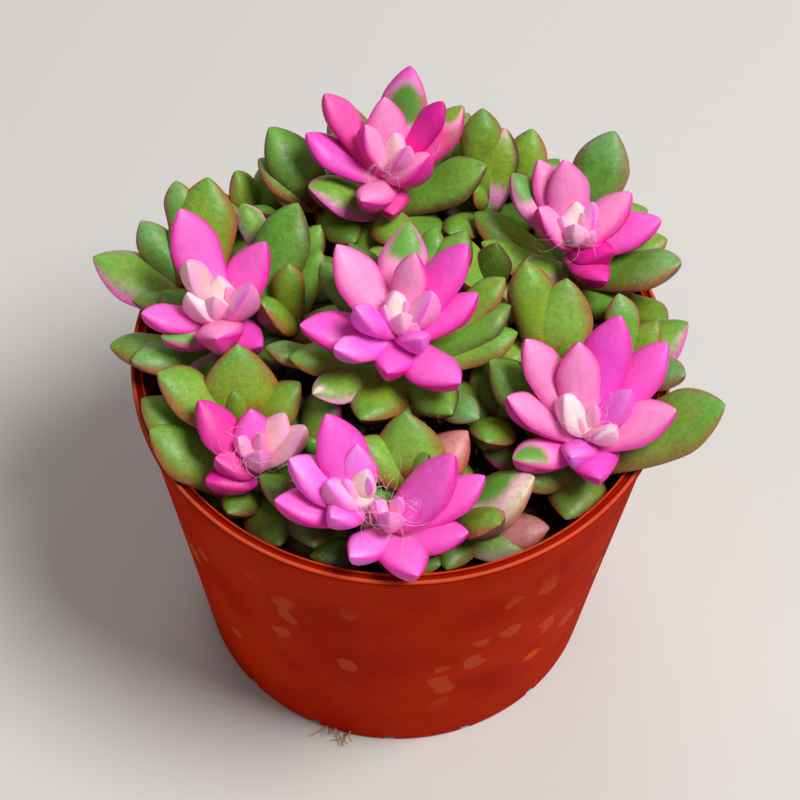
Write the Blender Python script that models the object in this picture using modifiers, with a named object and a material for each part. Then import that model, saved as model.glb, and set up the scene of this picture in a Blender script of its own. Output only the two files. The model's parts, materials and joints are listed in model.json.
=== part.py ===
"""A potted sunrise succulent: pink rosettes on green-leaved stems, crowded in a thin nursery pot.

Units are metres, +Z is up, and the origin is the centre of the pot's base, on the surface it stands on.
The pot's front, the side with the most pink leaves, faces -Y.
"""

from math import cos, hypot, pi, radians, sin, sqrt
from random import Random

import bmesh
import bpy
from mathutils import Matrix, Vector
from mathutils.bvhtree import BVHTree

MM = 0.001
GAP = 0.3 * MM                     # clearance between neighbouring pieces

# Pot
POT_HEIGHT = 70 * MM
RIM_RADIUS = 45 * MM
BASE_RADIUS = 36 * MM
WALL = 1.1 * MM
FLOOR = 1.3 * MM
BEAD = 0.5 * MM                    # how far the rim bead stands out
LEDGE_WIDTH = 2.0 * MM             # rim, from its outer edge to its inner one
RIM_BAND = 1.6 * MM                # height of the thicker band along the rim
BAND_SLOPE = 0.8 * MM              # and of the slope from it to the wall
OUTER_LIP = 0.7 * MM               # width of the rim's outer bead
INNER_LIP = 0.35 * MM              # and of the thin ring inside its sunken ledge
LEDGE_DROP = 0.7 * MM
EASE = 0.2 * MM                    # small chamfers of the rim and the foot
FOOT_WIDTH = 1.6 * MM
FOOT_HEIGHT = 1.5 * MM             # raised ring channel under the floor
PAD_RADIUS = 22 * MM               # flat middle of the base, on the ground
POT_SEGMENTS = 32
DRAIN_HOLES = 8
DRAIN_RADIUS = 2.5 * MM
NOTCHES = 16
NOTCH_WIDTH = 2.0 * MM
NOTCH_ROOF = 0.1 * MM              # the notches end this far below the raised ring
DRAIN_SIDES = 8
MERGE = 0.05 * MM                  # points of a turned shape this close are one
NOTCH_TURN = radians(22)           # bearing of the first notch

# Soil
SOIL_LEVEL = 61 * MM
SOIL_DOME = 1.5 * MM               # the soil's middle stands this much higher than its edge
SOIL_SEGMENTS = 24
SOIL_RINGS = 3
STONES = 10
STONE_SIZES = (0.8 * MM, 1.7 * MM)
STONE_DEPTHS = (0.7, 1.0)          # the stones' second and third sizes over their first
STONE_HEIGHTS = (0.6, 0.8)
STONE_MARGIN = 3 * MM              # no stone's middle is nearer the pot's wall than this
STONE_SEED = 3

# Stems
STEM_RADIUS = 1.7 * MM
SHOOT_RADIUS = 1.3 * MM
STEM_DEPTH = 10 * MM               # how deep a stem stands in the soil
STEM_SIDES = 6
NECK = 8.5 * MM                    # from a rosette's centre down to where its green stem starts
CORE_TOP = 1.2 * MM                # a core ends this far below its rosette's centre
FORK_STEP = 0.3 * MM               # the second core of a twin rosette starts this much higher and slimmer

# Leaves
ROOT_WIDTH = 0.56                  # width of a leaf where it leaves the stem, over its full width
ROOT_DEPTH = 0.60                  # the same for its thickness
PINK = (0.70, 0.78, 1.50, 0.30)    # thickness over width, widest point to tip over width, how full the
GREEN = (0.62, 0.68, 1.65, 0.47)   # edges are there (1 gives straight ones), share of thickness on top
LEAST_WIDEST = 0.35                # a leaf is widest no nearer its root than this share of its reach
MOST_THICK = 5.2 * MM              # the widest leaves are no thicker than this
SAG = 0.10                         # how far a leaf bows below the straight line to its tip, over its reach
ROOT_START = 0.4 * MM              # a leaf starts this far out from its stem's middle
RING_STEP = 0.92                   # ring near the widest point, over its distance from the root
TIP_RING = 0.5                     # and one this far from there to the tip
LEAST_DROP = 1.7 * MM              # the topmost leaves leave a stem this far below its top
HEAD_DROP = (75, 0.07 * MM)        # their elevation on rosettes and shoots, and what a degree less adds
STEM_DROP = (60, 0.06 * MM)        # the same for the green leaves below a rosette

# Search for clear places: steps of elevation, bearing and length, nearest first
TILTS = (0, 4, -4, 8, -8, 12, -12, 16, -16, 20, -20, 25)
TURNS = (0, 5, -5, 10, -10, 15, -15)
SCALES = (1.0, 0.94, 0.88, 0.82)

SEARCH_STEPS = (4, 5, 0.05)        # tilt and turn in degrees, and share of length, that count as one effort
PINK_EFFORT = 12
GREEN_EFFORT = 14
FILL_EFFORT = 6

GOLDEN_ANGLE = 137.5
FILL_TURN = 53                     # turn of the filling leaves from one stem to the next

# Rosettes. Each head is its centre (x, y, z in mm) and its leaves (bearing, elevation, reach in mm,
# width in mm); bearings run anticlockwise from +X. The plant stands at (x, y).
ROSETTES = {
    "back": ((-2.7, 26.5), [
        ((-2.7, 26.5, 88), [
            (75, 50, 18.5, 8.6), (150, 45, 18, 6.6), (100, 62, 13, 7.8), (170, 30, 16.5, 6.8),
            (-115, 28, 12, 6.5), (-85, 10, 9, 6.8), (-20, 48, 10.5, 7.5), (30, 52, 16, 5.5),
            (35, 32, 17.5, 7), (165, 66, 10.5, 5.6), (60, 76, 7, 5), (-30, 66, 8.5, 5)])]),
    "back_right": ((28.3, 14.4), [
        ((28.3, 14.4, 86), [
            (110, 60, 14, 7.5), (127, 45, 15.2, 6.2), (25, 42, 13, 7.5), (5, 25, 15.5, 7.5),
            (175, 50, 10, 8), (145, 35, 16, 7), (-35, 30, 8.5, 7), (-60, 8, 10.5, 7),
            (96, 72, 6.5, 5.2), (35, 66, 7.5, 5.6), (-100, 68, 6.5, 5)])]),
    "centre": ((-0.3, -8.1), [
        ((-0.3, -8.1, 90), [
            (140, 40, 17.5, 8.2), (86, 35, 18, 8.2), (70, 62, 13, 6.2), (42, 40, 18, 7.4),
            (15, 30, 14.5, 6.8), (-50, 12, 15.5, 8.2), (-100, 22, 11, 7.6), (-176, 12, 16.5, 8.4),
            (-142, 28, 14.5, 5.5), (-160, 50, 11.5, 6), (5, 60, 10, 6.6), (-60, 42, 9.5, 5.4),
            (120, 75, 6.5, 5), (-80, 70, 6, 4.8)])]),
    "left": ((-29.1, -1.3), [
        ((-29.1, -1.3, 84), [
            (125, 52, 19, 8.5), (45, 48, 14.5, 8.6), (160, 62, 12, 6.2), (-165, 25, 14.5, 6),
            (-150, 8, 11.5, 7.5), (-90, 38, 13, 8), (-45, 14, 10, 7.6), (-18, 60, 10.5, 6.8),
            (-165, 52, 9, 6.6), (105, 74, 6.5, 5.2), (-110, 70, 6.5, 5)])]),
    "right": ((29.8, -20.2), [
        ((29.8, -20.2, 80), [
            (140, 45, 19, 7.2), (106, 60, 15.5, 7.4), (70, 50, 20, 8.2), (41, 35, 20, 7.4),
            (-3, 34, 16.2, 9.2), (20, 52, 11, 6.6), (176, 35, 16, 7.2), (165, 62, 9, 6.4),
            (-152, 12, 14, 7.4), (-112, 32, 9, 6.2), (-80, 16, 10.5, 8.6), (-45, 50, 8.5, 4.8)])]),
    "front": ((-3.3, -35.4), [
        ((-5.7, -34.3, 80), [
            (124, 50, 15.5, 9), (169, 39, 14.5, 8.6), (-170, 22, 14.5, 8.6), (-165, 54, 9, 6.2),
            (98, 58, 9.5, 6.2), (-126, 38, 9.5, 6.2), (60, 76, 5.5, 4.8)]),
        ((-0.8, -36.9, 78), [
            (17, 50, 8, 6.2), (30, 48, 16, 9), (22, 25, 17, 7), (-8, 15, 12.5, 7.5),
            (-130, 22, 10.5, 6.5), (-68, 6, 11.5, 8.4), (-98, 68, 5.5, 4.8)])]),
    "left_front": ((-22.6, -25.6), [
        ((-22.6, -25.6, 78), [
            (150, 42, 14, 7.6), (100, 55, 8.5, 8), (-155, 38, 8.5, 6.6), (-148, 15, 9.5, 7.4),
            (44, 50, 9.5, 6.4), (15, 42, 11, 6), (-70, 62, 6.5, 5.2)])]),
}

# Green lower leaves of those plants, from the same stems: (bearing, elevation, reach, width)
GREENS = {
    "back": [
        (-165, 20, 16.5, 10), (6, 30, 19, 9.5), (20, 12, 19.5, 8)],
    "back_right": [
        (-6, 20, 17.5, 9), (-18, 10, 21, 9), (-36, 10, 14, 7.5), (155, 20, 19.5, 7), (172, 20, 16.5, 7),
        (-165, 30, 10, 6)],
    "centre": [
        (137, 30, 20.5, 5.6), (-171, 20, 18.5, 6.6), (179, 10, 22, 5.6), (-144, 17, 17.5, 6.6),
        (-113, 15, 15.5, 9), (-55, 15, 15.5, 8), (0, 15, 20, 6.8), (22, 20, 20.5, 7.2), (32, 26, 22, 6),
        (60, 30, 24, 7), (74, 30, 23, 5), (118, 30, 21, 7.6), (-40, 5, 17, 6), (-82, 2, 11.5, 8)],
    "left": [
        (28, 20, 13, 7), (-170, 10, 19.5, 8), (-155, 18, 17, 8), (-113, 15, 15, 8.5), (58, 35, 26.5, 10)],
    "right": [
        (0, 34, 26, 12), (-100, 4, 11.5, 10.5), (152, 20, 23, 9.5), (178, 10, 16.5, 7), (10, 22, 10, 5.5)],
    "front": [
        (-150, 15, 13, 7.5), (165, 10, 15, 7)],
    "left_front": [
        (172, 35, 20.5, 11), (-56, 15, 15, 9.5), (148, 20, 24, 10.5), (-120, 8, 11, 7)],
}

# Side shoots with their own stems: top centre (x, y, z in mm) and leaves (bearing, elevation, reach, width)
SHOOTS = {
    "west": ((-35, 8, 79), [(170, 20, 18, 11), (80, 45, 19, 11.5), (134, 30, 15, 6.5), (103, 42, 18.5, 6)]),
    "northwest": ((-20, 12, 78), [(130, 38, 14.5, 5), (85, 25, 10, 6), (45, 40, 11, 6)]),
    "north_left": ((-14, 27, 81), [(142, 40, 15.5, 9.5), (160, 28, 13.5, 7), (176, 18, 9, 5)]),
    "north_right": ((14, 27, 78), [(97, 50, 18, 7.5), (73, 50, 15, 8)]),
    "northeast": ((30.5, 24, 79), [(66, 46, 17, 10)]),
    "east": ((37.5, -3, 75), [(25, 30, 13, 9), (48, 42, 9.5, 6), (105, 30, 12.5, 6)]),
    "inner_east": ((25, -5, 77), [(80, 50, 15, 11.5), (115, 48, 18.5, 8)]),
    "inner_south": ((2, -28, 76), [(100, 55, 12, 12), (38, 30, 13, 8.5)]),
    "inner_west": ((-18, 1, 78), [(98, 45, 11, 5.6), (70, 35, 14.5, 5)]),
    "southwest": ((-25, -18, 76), [(98, 55, 14, 13), (170, 25, 18, 10)]),
    "southeast": ((9.5, -32, 72), [
        (24, 32, 15, 10.5), (-16, 4, 12.5, 9), (-100, 8, 8.5, 8), (-3, 9, 15, 6.5)]),
    "south_left": ((-14.5, -29.5, 74), [(-86, 8, 10.5, 8), (170, 15, 9, 7.5)]),
    "inner_southwest": ((-14, -20, 74), []),
    "inner_southeast": ((17, -14, 75), []),
    "inner_north": ((1, 11, 77), []),
    "inner_northeast": ((15, 10, 77), []),
    "rear_left": ((-26, 29, 73), []),
    "rear_mid_left": ((-9, 37.5, 77), []),
    "rear_mid_right": ((8, 38, 76), []),
    "rear_right": ((20, 33, 77), []),
    "rear_east": ((37, 12, 76), []),
}

# Leaves that fill round a stem where there is room: (elevation, reach, width) from the top down. A shoot
# with leaves of its own has the third list.
STEM_FILL = [
    (34, 14, 8.5), (28, 14, 8.5), (24, 13, 8), (18, 13, 8),
    (12, 12, 7.5), (8, 12, 7.5), (4, 11, 7), (0, 11, 7)]
SHOOT_FILL = [
    (62, 9, 6.5), (52, 11, 7.5), (44, 12, 8), (36, 12.5, 8),
    (28, 12, 7.5), (18, 11, 7), (8, 10, 7)]
BUDDED_FILL = [
    (66, 6.5, 4.6), (44, 12, 8), (36, 12.5, 8), (28, 12, 7.5), (18, 11, 7), (8, 10, 7)]
FILL_SPREAD = 30                   # a filling leaf keeps this many degrees from the plant's other leaves

# Materials: colour, roughness
POT_PLASTIC = ((0.55, 0.10, 0.03), 0.35)
SOIL_DARK = ((0.03, 0.022, 0.018), 0.95)
PINK_LEAF = ((0.93, 0.28, 0.62), 0.45)
GREEN_LEAF = ((0.24, 0.40, 0.10), 0.45)


def make_material(name, look):
    colour, roughness = look
    material = bpy.data.materials.new(name)
    material.use_nodes = True
    shader = material.node_tree.nodes["Principled BSDF"]
    shader.inputs["Base Color"].default_value = (*colour, 1.0)
    shader.inputs["Roughness"].default_value = roughness
    shader.inputs["Metallic"].default_value = 0.0
    return material


def new_object(name, bm, collection, material=None):
    """Turn a bmesh into an object with its faces pointing out."""
    bmesh.ops.recalc_face_normals(bm, faces=bm.faces[:])
    mesh = bpy.data.meshes.new(name)
    bm.to_mesh(mesh)
    bm.free()
    obj = bpy.data.objects.new(name, mesh)
    collection.objects.link(obj)
    if material is not None:
        mesh.materials.append(material)
    return obj


def turned(name, profile, segments, collection, material):
    """A solid of revolution from (radius, height) points that run down the outer side."""
    bm = bmesh.new()
    points = [bm.verts.new((radius, 0.0, height)) for radius, height in profile]
    for first, second in zip(points, points[1:]):
        bm.edges.new((first, second))
    mesh = bpy.data.meshes.new(name)
    bm.to_mesh(mesh)
    bm.free()
    mesh.materials.append(material)
    obj = bpy.data.objects.new(name, mesh)
    collection.objects.link(obj)
    screw = obj.modifiers.new("turn", "SCREW")
    screw.axis = "Z"
    screw.angle = 2 * pi
    screw.steps = segments
    screw.render_steps = segments
    screw.use_merge_vertices = True
    screw.merge_threshold = MERGE
    return obj


def cut(obj, cutters, collection):
    """Boolean difference with a collection of cutters, left as a modifier."""
    modifier = obj.modifiers.new("cut", "BOOLEAN")
    modifier.operation = "DIFFERENCE"
    modifier.operand_type = "COLLECTION"
    modifier.collection = collection
    modifier.solver = "EXACT"
    for cutter in cutters:
        cutter.hide_render = True
        cutter.display_type = "WIRE"


def evaluated_mesh(obj):
    """The object's mesh with its modifiers worked out."""
    bpy.context.view_layer.update()
    return bpy.data.meshes.new_from_object(obj.evaluated_get(bpy.context.evaluated_depsgraph_get()))


def outer_radius(height):
    """Radius of the pot's outer wall at a height, below the rim."""
    return BASE_RADIUS + (RIM_RADIUS - BEAD - BASE_RADIUS) * height / POT_HEIGHT


def pot_profile():
    """Inside floor, inside wall, rim, outer wall, foot ring and base."""
    inner_ring = RIM_RADIUS - LEDGE_WIDTH
    step_floor = FOOT_HEIGHT + FLOOR
    foot_inner = BASE_RADIUS - FOOT_WIDTH
    below_band = POT_HEIGHT - RIM_BAND - BAND_SLOPE
    return [
        (0.0, FLOOR),
        (PAD_RADIUS - FLOOR, FLOOR),
        (PAD_RADIUS, step_floor),
        (outer_radius(step_floor) - WALL, step_floor),
        (inner_ring - EASE, POT_HEIGHT - RIM_BAND),
        (inner_ring, POT_HEIGHT - EASE),
        (inner_ring + INNER_LIP, POT_HEIGHT - EASE),
        (inner_ring + INNER_LIP + EASE, POT_HEIGHT - LEDGE_DROP),
        (RIM_RADIUS - OUTER_LIP - EASE, POT_HEIGHT - LEDGE_DROP),
        (RIM_RADIUS - OUTER_LIP, POT_HEIGHT),
        (RIM_RADIUS - EASE, POT_HEIGHT),
        (RIM_RADIUS, POT_HEIGHT - 2 * EASE),
        (RIM_RADIUS, POT_HEIGHT - RIM_BAND),
        (outer_radius(below_band), below_band),
        (outer_radius(2 * EASE), 2 * EASE),
        (BASE_RADIUS - 2 * EASE, 0.0),
        (foot_inner, 0.0),
        (foot_inner - EASE, FOOT_HEIGHT),
        (PAD_RADIUS + FLOOR, FOOT_HEIGHT),
        (PAD_RADIUS, 0.0),
        (0.0, 0.0),
    ]


def make_pot(parts, cutters, material):
    """The turned pot, with drain holes in the raised ring and notches through the foot."""
    pot = turned("pot", pot_profile(), POT_SEGMENTS, parts, material)
    pot_cutters = bpy.data.collections.new("pot cutters")
    cutters.children.link(pot_cutters)
    tools = []
    hole_circle = (PAD_RADIUS + BASE_RADIUS) / 2
    for index in range(DRAIN_HOLES):
        angle = 2 * pi * index / DRAIN_HOLES
        bm = bmesh.new()
        centre = (hole_circle * cos(angle), hole_circle * sin(angle), FOOT_HEIGHT + FLOOR / 2)
        bmesh.ops.create_cone(
            bm, cap_ends=True, segments=DRAIN_SIDES, radius1=DRAIN_RADIUS, radius2=DRAIN_RADIUS,
            depth=2 * FLOOR, matrix=Matrix.Translation(centre))
        tools.append(new_object(f"drain hole {index}", bm, pot_cutters))
    for index in range(NOTCHES):
        angle = NOTCH_TURN + 2 * pi * index / NOTCHES
        bm = bmesh.new()
        size = Matrix.Diagonal((4 * FOOT_WIDTH, NOTCH_WIDTH, 2 * (FOOT_HEIGHT - NOTCH_ROOF), 1.0))
        place = Matrix.Rotation(angle, 4, "Z") @ Matrix.Translation((BASE_RADIUS, 0.0, 0.0))
        bmesh.ops.create_cube(bm, size=1.0, matrix=place @ size)
        tools.append(new_object(f"foot notch {index}", bm, pot_cutters))
    cut(pot, tools, pot_cutters)
    return pot


def inner_radius(height):
    """Radius of the pot's inside wall at a height between its floor and its rim."""
    low_height = FOOT_HEIGHT + FLOOR
    low = outer_radius(low_height) - WALL
    high_height = POT_HEIGHT - RIM_BAND
    high = RIM_RADIUS - LEDGE_WIDTH - EASE
    return low + (high - low) * (height - low_height) / (high_height - low_height)


def soil_height(x, y):
    """Height of the soil's surface, a low dome."""
    share = min(1.0, hypot(x, y) / inner_radius(SOIL_LEVEL))
    return SOIL_LEVEL + SOIL_DOME * (1 - share * share)


def soil_profile():
    """Domed top, side along the pot's wall, and a bottom that follows the pot's floor."""
    edge = inner_radius(SOIL_LEVEL) - GAP
    reaches = [edge * step / SOIL_RINGS for step in range(SOIL_RINGS)]
    top = [(reach, soil_height(reach, 0.0)) for reach in reaches]
    ring_bottom = FOOT_HEIGHT + FLOOR + GAP
    return top + [
        (edge, SOIL_LEVEL),
        (inner_radius(ring_bottom) - GAP, ring_bottom),
        (PAD_RADIUS, ring_bottom),
        (PAD_RADIUS - FLOOR - GAP, FLOOR + GAP),
        (0.0, FLOOR + GAP),
    ]


def make_soil(parts, cutters, material):
    """The body of soil with a few stones half sunk in its surface."""
    soil = turned("soil", soil_profile(), SOIL_SEGMENTS, parts, material)
    stones = bpy.data.collections.new("stones")
    cutters.children.link(stones)
    draw = Random(STONE_SEED)
    for index in range(STONES):
        bearing = index * radians(GOLDEN_ANGLE)
        reach = (inner_radius(SOIL_LEVEL) - STONE_MARGIN) * sqrt((index + 0.5) / STONES)
        x = reach * cos(bearing)
        y = reach * sin(bearing)
        size = draw.uniform(*STONE_SIZES)
        bm = bmesh.new()
        shape = Matrix.Diagonal((1.0, draw.uniform(*STONE_DEPTHS), draw.uniform(*STONE_HEIGHTS), 1.0))
        turn = Matrix.Rotation(draw.uniform(0, pi), 4, "Z")
        place = Matrix.Translation((x, y, soil_height(x, y)))
        bmesh.ops.create_icosphere(bm, subdivisions=1, radius=size, matrix=place @ turn @ shape)
        stone = new_object(f"stone {index}", bm, stones)
        stone.hide_render = True
        stone.display_type = "WIRE"
    union = soil.modifiers.new("stones", "BOOLEAN")
    union.operation = "UNION"
    union.operand_type = "COLLECTION"
    union.collection = stones
    return soil


def drill_soil(soil, feet, cutters):
    """A plain blind hole in the soil for each stem, given as (x, y, stem radius)."""
    holes = bpy.data.collections.new("stem holes")
    cutters.children.link(holes)
    tools = []
    for index, (x, y, radius) in enumerate(feet):
        bottom = soil_height(x, y) - STEM_DEPTH - GAP
        top = soil_height(x, y) + 2 * STEM_DEPTH
        wide = radius + GAP / cos(pi / STEM_SIDES)
        points = [Vector((x, y, bottom)), Vector((x, y, top))]
        tools.append(tube(points, [wide, wide], STEM_SIDES, holes, f"stem hole {index}"))
    cut(soil, tools, holes)


def tube(points, radii, sides, collection, name):
    """A closed tube of rings along a nearly upright line."""
    bm = bmesh.new()
    rings = []
    for centre, radius in zip(points, radii):
        ring = []
        for index in range(sides):
            angle = 2 * pi * index / sides
            ring.append(bm.verts.new(centre + Vector((radius * cos(angle), radius * sin(angle), 0.0))))
        rings.append(ring)
    close_loft(bm, rings, None)
    return new_object(name, bm, collection)


def close_loft(bm, rings, tip):
    """Skin rings of the same size, close the first, and end in a point or a closing face."""
    count = len(rings[0])
    bm.faces.new(rings[0])
    for lower, upper in zip(rings, rings[1:]):
        for index in range(count):
            after = (index + 1) % count
            bm.faces.new((lower[index], lower[after], upper[after], upper[index]))
    if tip is None:
        bm.faces.new(rings[-1])
        return
    for index in range(count):
        bm.faces.new((rings[-1][index], rings[-1][(index + 1) % count], tip))


def widest_share(width, reach, kind):
    """How far along its reach a leaf is widest."""
    return max(LEAST_WIDEST, 1 - kind[1] * width / reach)


def leaf_shape(share, widest, fullness):
    """Width and thickness of a leaf, each over its largest value, at a share of its reach."""
    if share <= widest:
        swell = sin(pi / 2 * share / widest)
        return ROOT_WIDTH + (1 - ROOT_WIDTH) * swell, ROOT_DEPTH + (1 - ROOT_DEPTH) * swell
    past = (share - widest) / (1 - widest)
    return 1 - past ** fullness, 1 - past ** 2


def leaf_line(root, bearing, elevation, reach):
    """Root, bowed middle and tip of a leaf's centre line, with its sideways direction."""
    side = Vector((-sin(bearing), cos(bearing), 0.0))
    along = Vector((cos(bearing) * cos(elevation), sin(bearing) * cos(elevation), sin(elevation)))
    under = side.cross(along)
    middle = root + along * reach / 2 + under * SAG * reach
    return root, middle, root + along * reach, side


def leaf_mesh(root, row, kind, grow=0.0):
    """A plump pointed leaf as a bmesh: five-sided rings to a tip, made larger all round by grow."""
    bearing, elevation, reach, width = row
    start, middle, end, side = leaf_line(root, radians(bearing), radians(elevation), reach * MM)
    widest = widest_share(width, reach, kind)
    shares = (ROOT_START / (reach * MM), RING_STEP * widest, widest + (1 - widest) * TIP_RING)
    bm = bmesh.new()
    rings = []
    for share in shares:
        centre = start * (1 - share) ** 2 + middle * 2 * share * (1 - share) + end * share ** 2
        tangent = ((middle - start) * (1 - share) + (end - middle) * share).normalized()
        normal = tangent.cross(side)
        across, thick = leaf_shape(share, widest, kind[2])
        half = across * width * MM / 2 + grow
        depth = thick * min(kind[0] * width * MM, MOST_THICK)
        upper = depth * kind[3] + grow
        lower = depth * (1 - kind[3]) + grow
        outline = ((half, 0.0), (half / 2, upper), (-half / 2, upper), (-half, 0.0), (0.0, -lower))
        rings.append([bm.verts.new(centre + side * x + normal * y) for x, y in outline])
    tip = bm.verts.new(end + (end - middle).normalized() * grow)
    close_loft(bm, rings, tip)
    return bm


class Garden:
    """The solids placed so far, used to keep the leaves of different pieces apart."""

    def __init__(self):
        self.placed = []

    def add(self, owner, bm):
        points = [vertex.co.copy() for vertex in bm.verts]
        centre = sum(points, Vector()) / len(points)
        radius = max((point - centre).length for point in points)
        self.placed.append((owner, centre, radius, BVHTree.FromBMesh(bm)))

    def is_clear(self, owner, bm):
        points = [vertex.co for vertex in bm.verts]
        centre = sum(points, Vector()) / len(points)
        radius = max((point - centre).length for point in points)
        tree = BVHTree.FromBMesh(bm)
        for other, other_centre, other_radius, other_tree in self.placed:
            if other == owner:
                continue
            if (other_centre - centre).length > radius + other_radius:
                continue
            if tree.overlap(other_tree):
                return False
        return True


def ways_to_bend():
    """Changes of elevation, bearing and length to try, from none to the largest."""
    ways = []
    tilt_step, turn_step, scale_step = SEARCH_STEPS
    for tilt in TILTS:
        for turn in TURNS:
            for scale in SCALES:
                effort = abs(tilt) / tilt_step + abs(turn) / turn_step + (1 - scale) / scale_step
                ways.append((effort, tilt, turn, scale))
    return sorted(ways, key=lambda way: way[0])


def place_leaf(garden, owner, root_at, row, kind, ways, most_effort):
    """Find the nearest clear place for a leaf. Returns its row, or None when there is no room."""
    bearing, elevation, reach, width = row
    for effort, tilt, turn, scale in ways:
        if effort > most_effort:
            return None
        tried = (bearing + turn, elevation + tilt, reach * scale, width * (1 + scale) / 2)
        grown = leaf_mesh(root_at(tried[1]), tried, kind, GAP)
        clear = garden.is_clear(owner, grown)
        grown.free()
        if clear:
            solid = leaf_mesh(root_at(tried[1]), tried, kind)
            garden.add(owner, solid)
            solid.free()
            return tried
    return None


def roots_below(top, drop):
    """Where a leaf leaves its stem: near the stem's top, and lower for lower leaves."""
    highest, step = drop
    return lambda elevation: top - Vector((0.0, 0.0, LEAST_DROP + max(0.0, highest - elevation) * step))


def angle_between(first, second):
    """Degrees between two bearings."""
    return abs((first - second + 180) % 360 - 180)


def clear_bearings(rows, turn, taken):
    """Filling leaves by the golden angle, without those that would lie on the plant's own leaves."""
    found = []
    for index, (elevation, reach, width) in enumerate(rows):
        bearing = turn + index * GOLDEN_ANGLE
        near = [other for other in taken + found if angle_between(other[0], bearing) < FILL_SPREAD]
        if all(abs(other[1] - elevation) >= FILL_SPREAD for other in near):
            found.append((bearing, elevation, reach, width))
    return found


def upright_stem(name, foot, top, radius, collection):
    """A stem from inside its hole in the soil to its top."""
    x = foot[0] * MM
    y = foot[1] * MM
    bottom = soil_height(x, y) - STEM_DEPTH
    line = [Vector((x, y, bottom)), Vector((x, y, top))]
    return tube(line, [radius, radius], STEM_SIDES, collection, name)


def add_object(garden, owner, obj):
    """Keep an object's solid in the garden."""
    mesh = evaluated_mesh(obj)
    bm = bmesh.new()
    bm.from_mesh(mesh)
    garden.add(owner, bm)
    bm.free()
    bpy.data.meshes.remove(mesh)


def face_shells(bm):
    """Groups of faces that join each other along edges of just two faces."""
    waiting = set(bm.faces)
    shells = []
    while waiting:
        reached = [waiting.pop()]
        for face in reached:
            for edge in face.edges:
                pair = edge.link_faces if len(edge.link_faces) == 2 else ()
                for near in pair:
                    if near in waiting:
                        waiting.remove(near)
                        reached.append(near)
        shells.append(reached)
    return shells


def keep_outer_shell(mesh):
    """Fill the hollows that the leaves close off between them, and drop loose scraps."""
    bm = bmesh.new()
    bm.from_mesh(mesh)
    shells = sorted(face_shells(bm), key=len)
    for shell in shells[:-1]:
        bmesh.ops.delete(bm, geom=shell, context="FACES")
    bm.to_mesh(mesh)
    bm.free()


def fuse(name, solids, leaves, parts, material):
    """Join stems and leaves into one solid and leave it as one plain mesh."""
    body = solids[0]
    group = bpy.data.collections.new(name + " leaves")
    bpy.context.scene.collection.children.link(group)
    for solid in solids[1:]:
        group.objects.link(solid)
    for index, (root, row, kind) in enumerate(leaves):
        new_object(f"{name} leaf {index}", leaf_mesh(root, row, kind), group)
    union = body.modifiers.new("join", "BOOLEAN")
    union.operation = "UNION"
    union.operand_type = "COLLECTION"
    union.collection = group
    union.solver = "EXACT"
    mesh = evaluated_mesh(body)
    keep_outer_shell(mesh)
    mesh.materials.clear()
    mesh.materials.append(material)
    for used in list(group.objects) + [body]:
        bpy.data.objects.remove(used)
    bpy.data.collections.remove(group)
    fused = bpy.data.objects.new(name, mesh)
    parts.objects.link(fused)


def widest_first():
    """The green leaves that show, with their owners, the widest first so that these find room."""
    rows = [("shoot_" + name, row) for name, (_, shown) in SHOOTS.items() for row in shown]
    rows += [("greens_" + name, row) for name, shown in GREENS.items() for row in shown]
    return sorted(rows, key=lambda owned: -owned[1][3])


def make_cores(name, foot, heads, junction, workshop):
    """The pink cores of a plant, one up to each of its heads from above the green stem."""
    cores = []
    for index, (centre, _) in enumerate(heads):
        start = Vector((foot[0] * MM, foot[1] * MM, junction + GAP / 2 + index * FORK_STEP))
        end = Vector(centre) * MM - Vector((0.0, 0.0, CORE_TOP))
        radii = [STEM_RADIUS - index * FORK_STEP, STEM_RADIUS]
        cores.append(tube([start, end], radii, STEM_SIDES, workshop, f"{name} core {index}"))
    return cores


def place_leaves(garden, owner, root_at, rows, kind, ways, most_effort):
    """Place a list of leaves, and return what each needs to be built again."""
    built = []
    for row in rows:
        placed = place_leaf(garden, owner, root_at, row, kind, ways, most_effort)
        if placed is not None:
            built.append((root_at(placed[1]), placed, kind))
    return built


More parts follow.
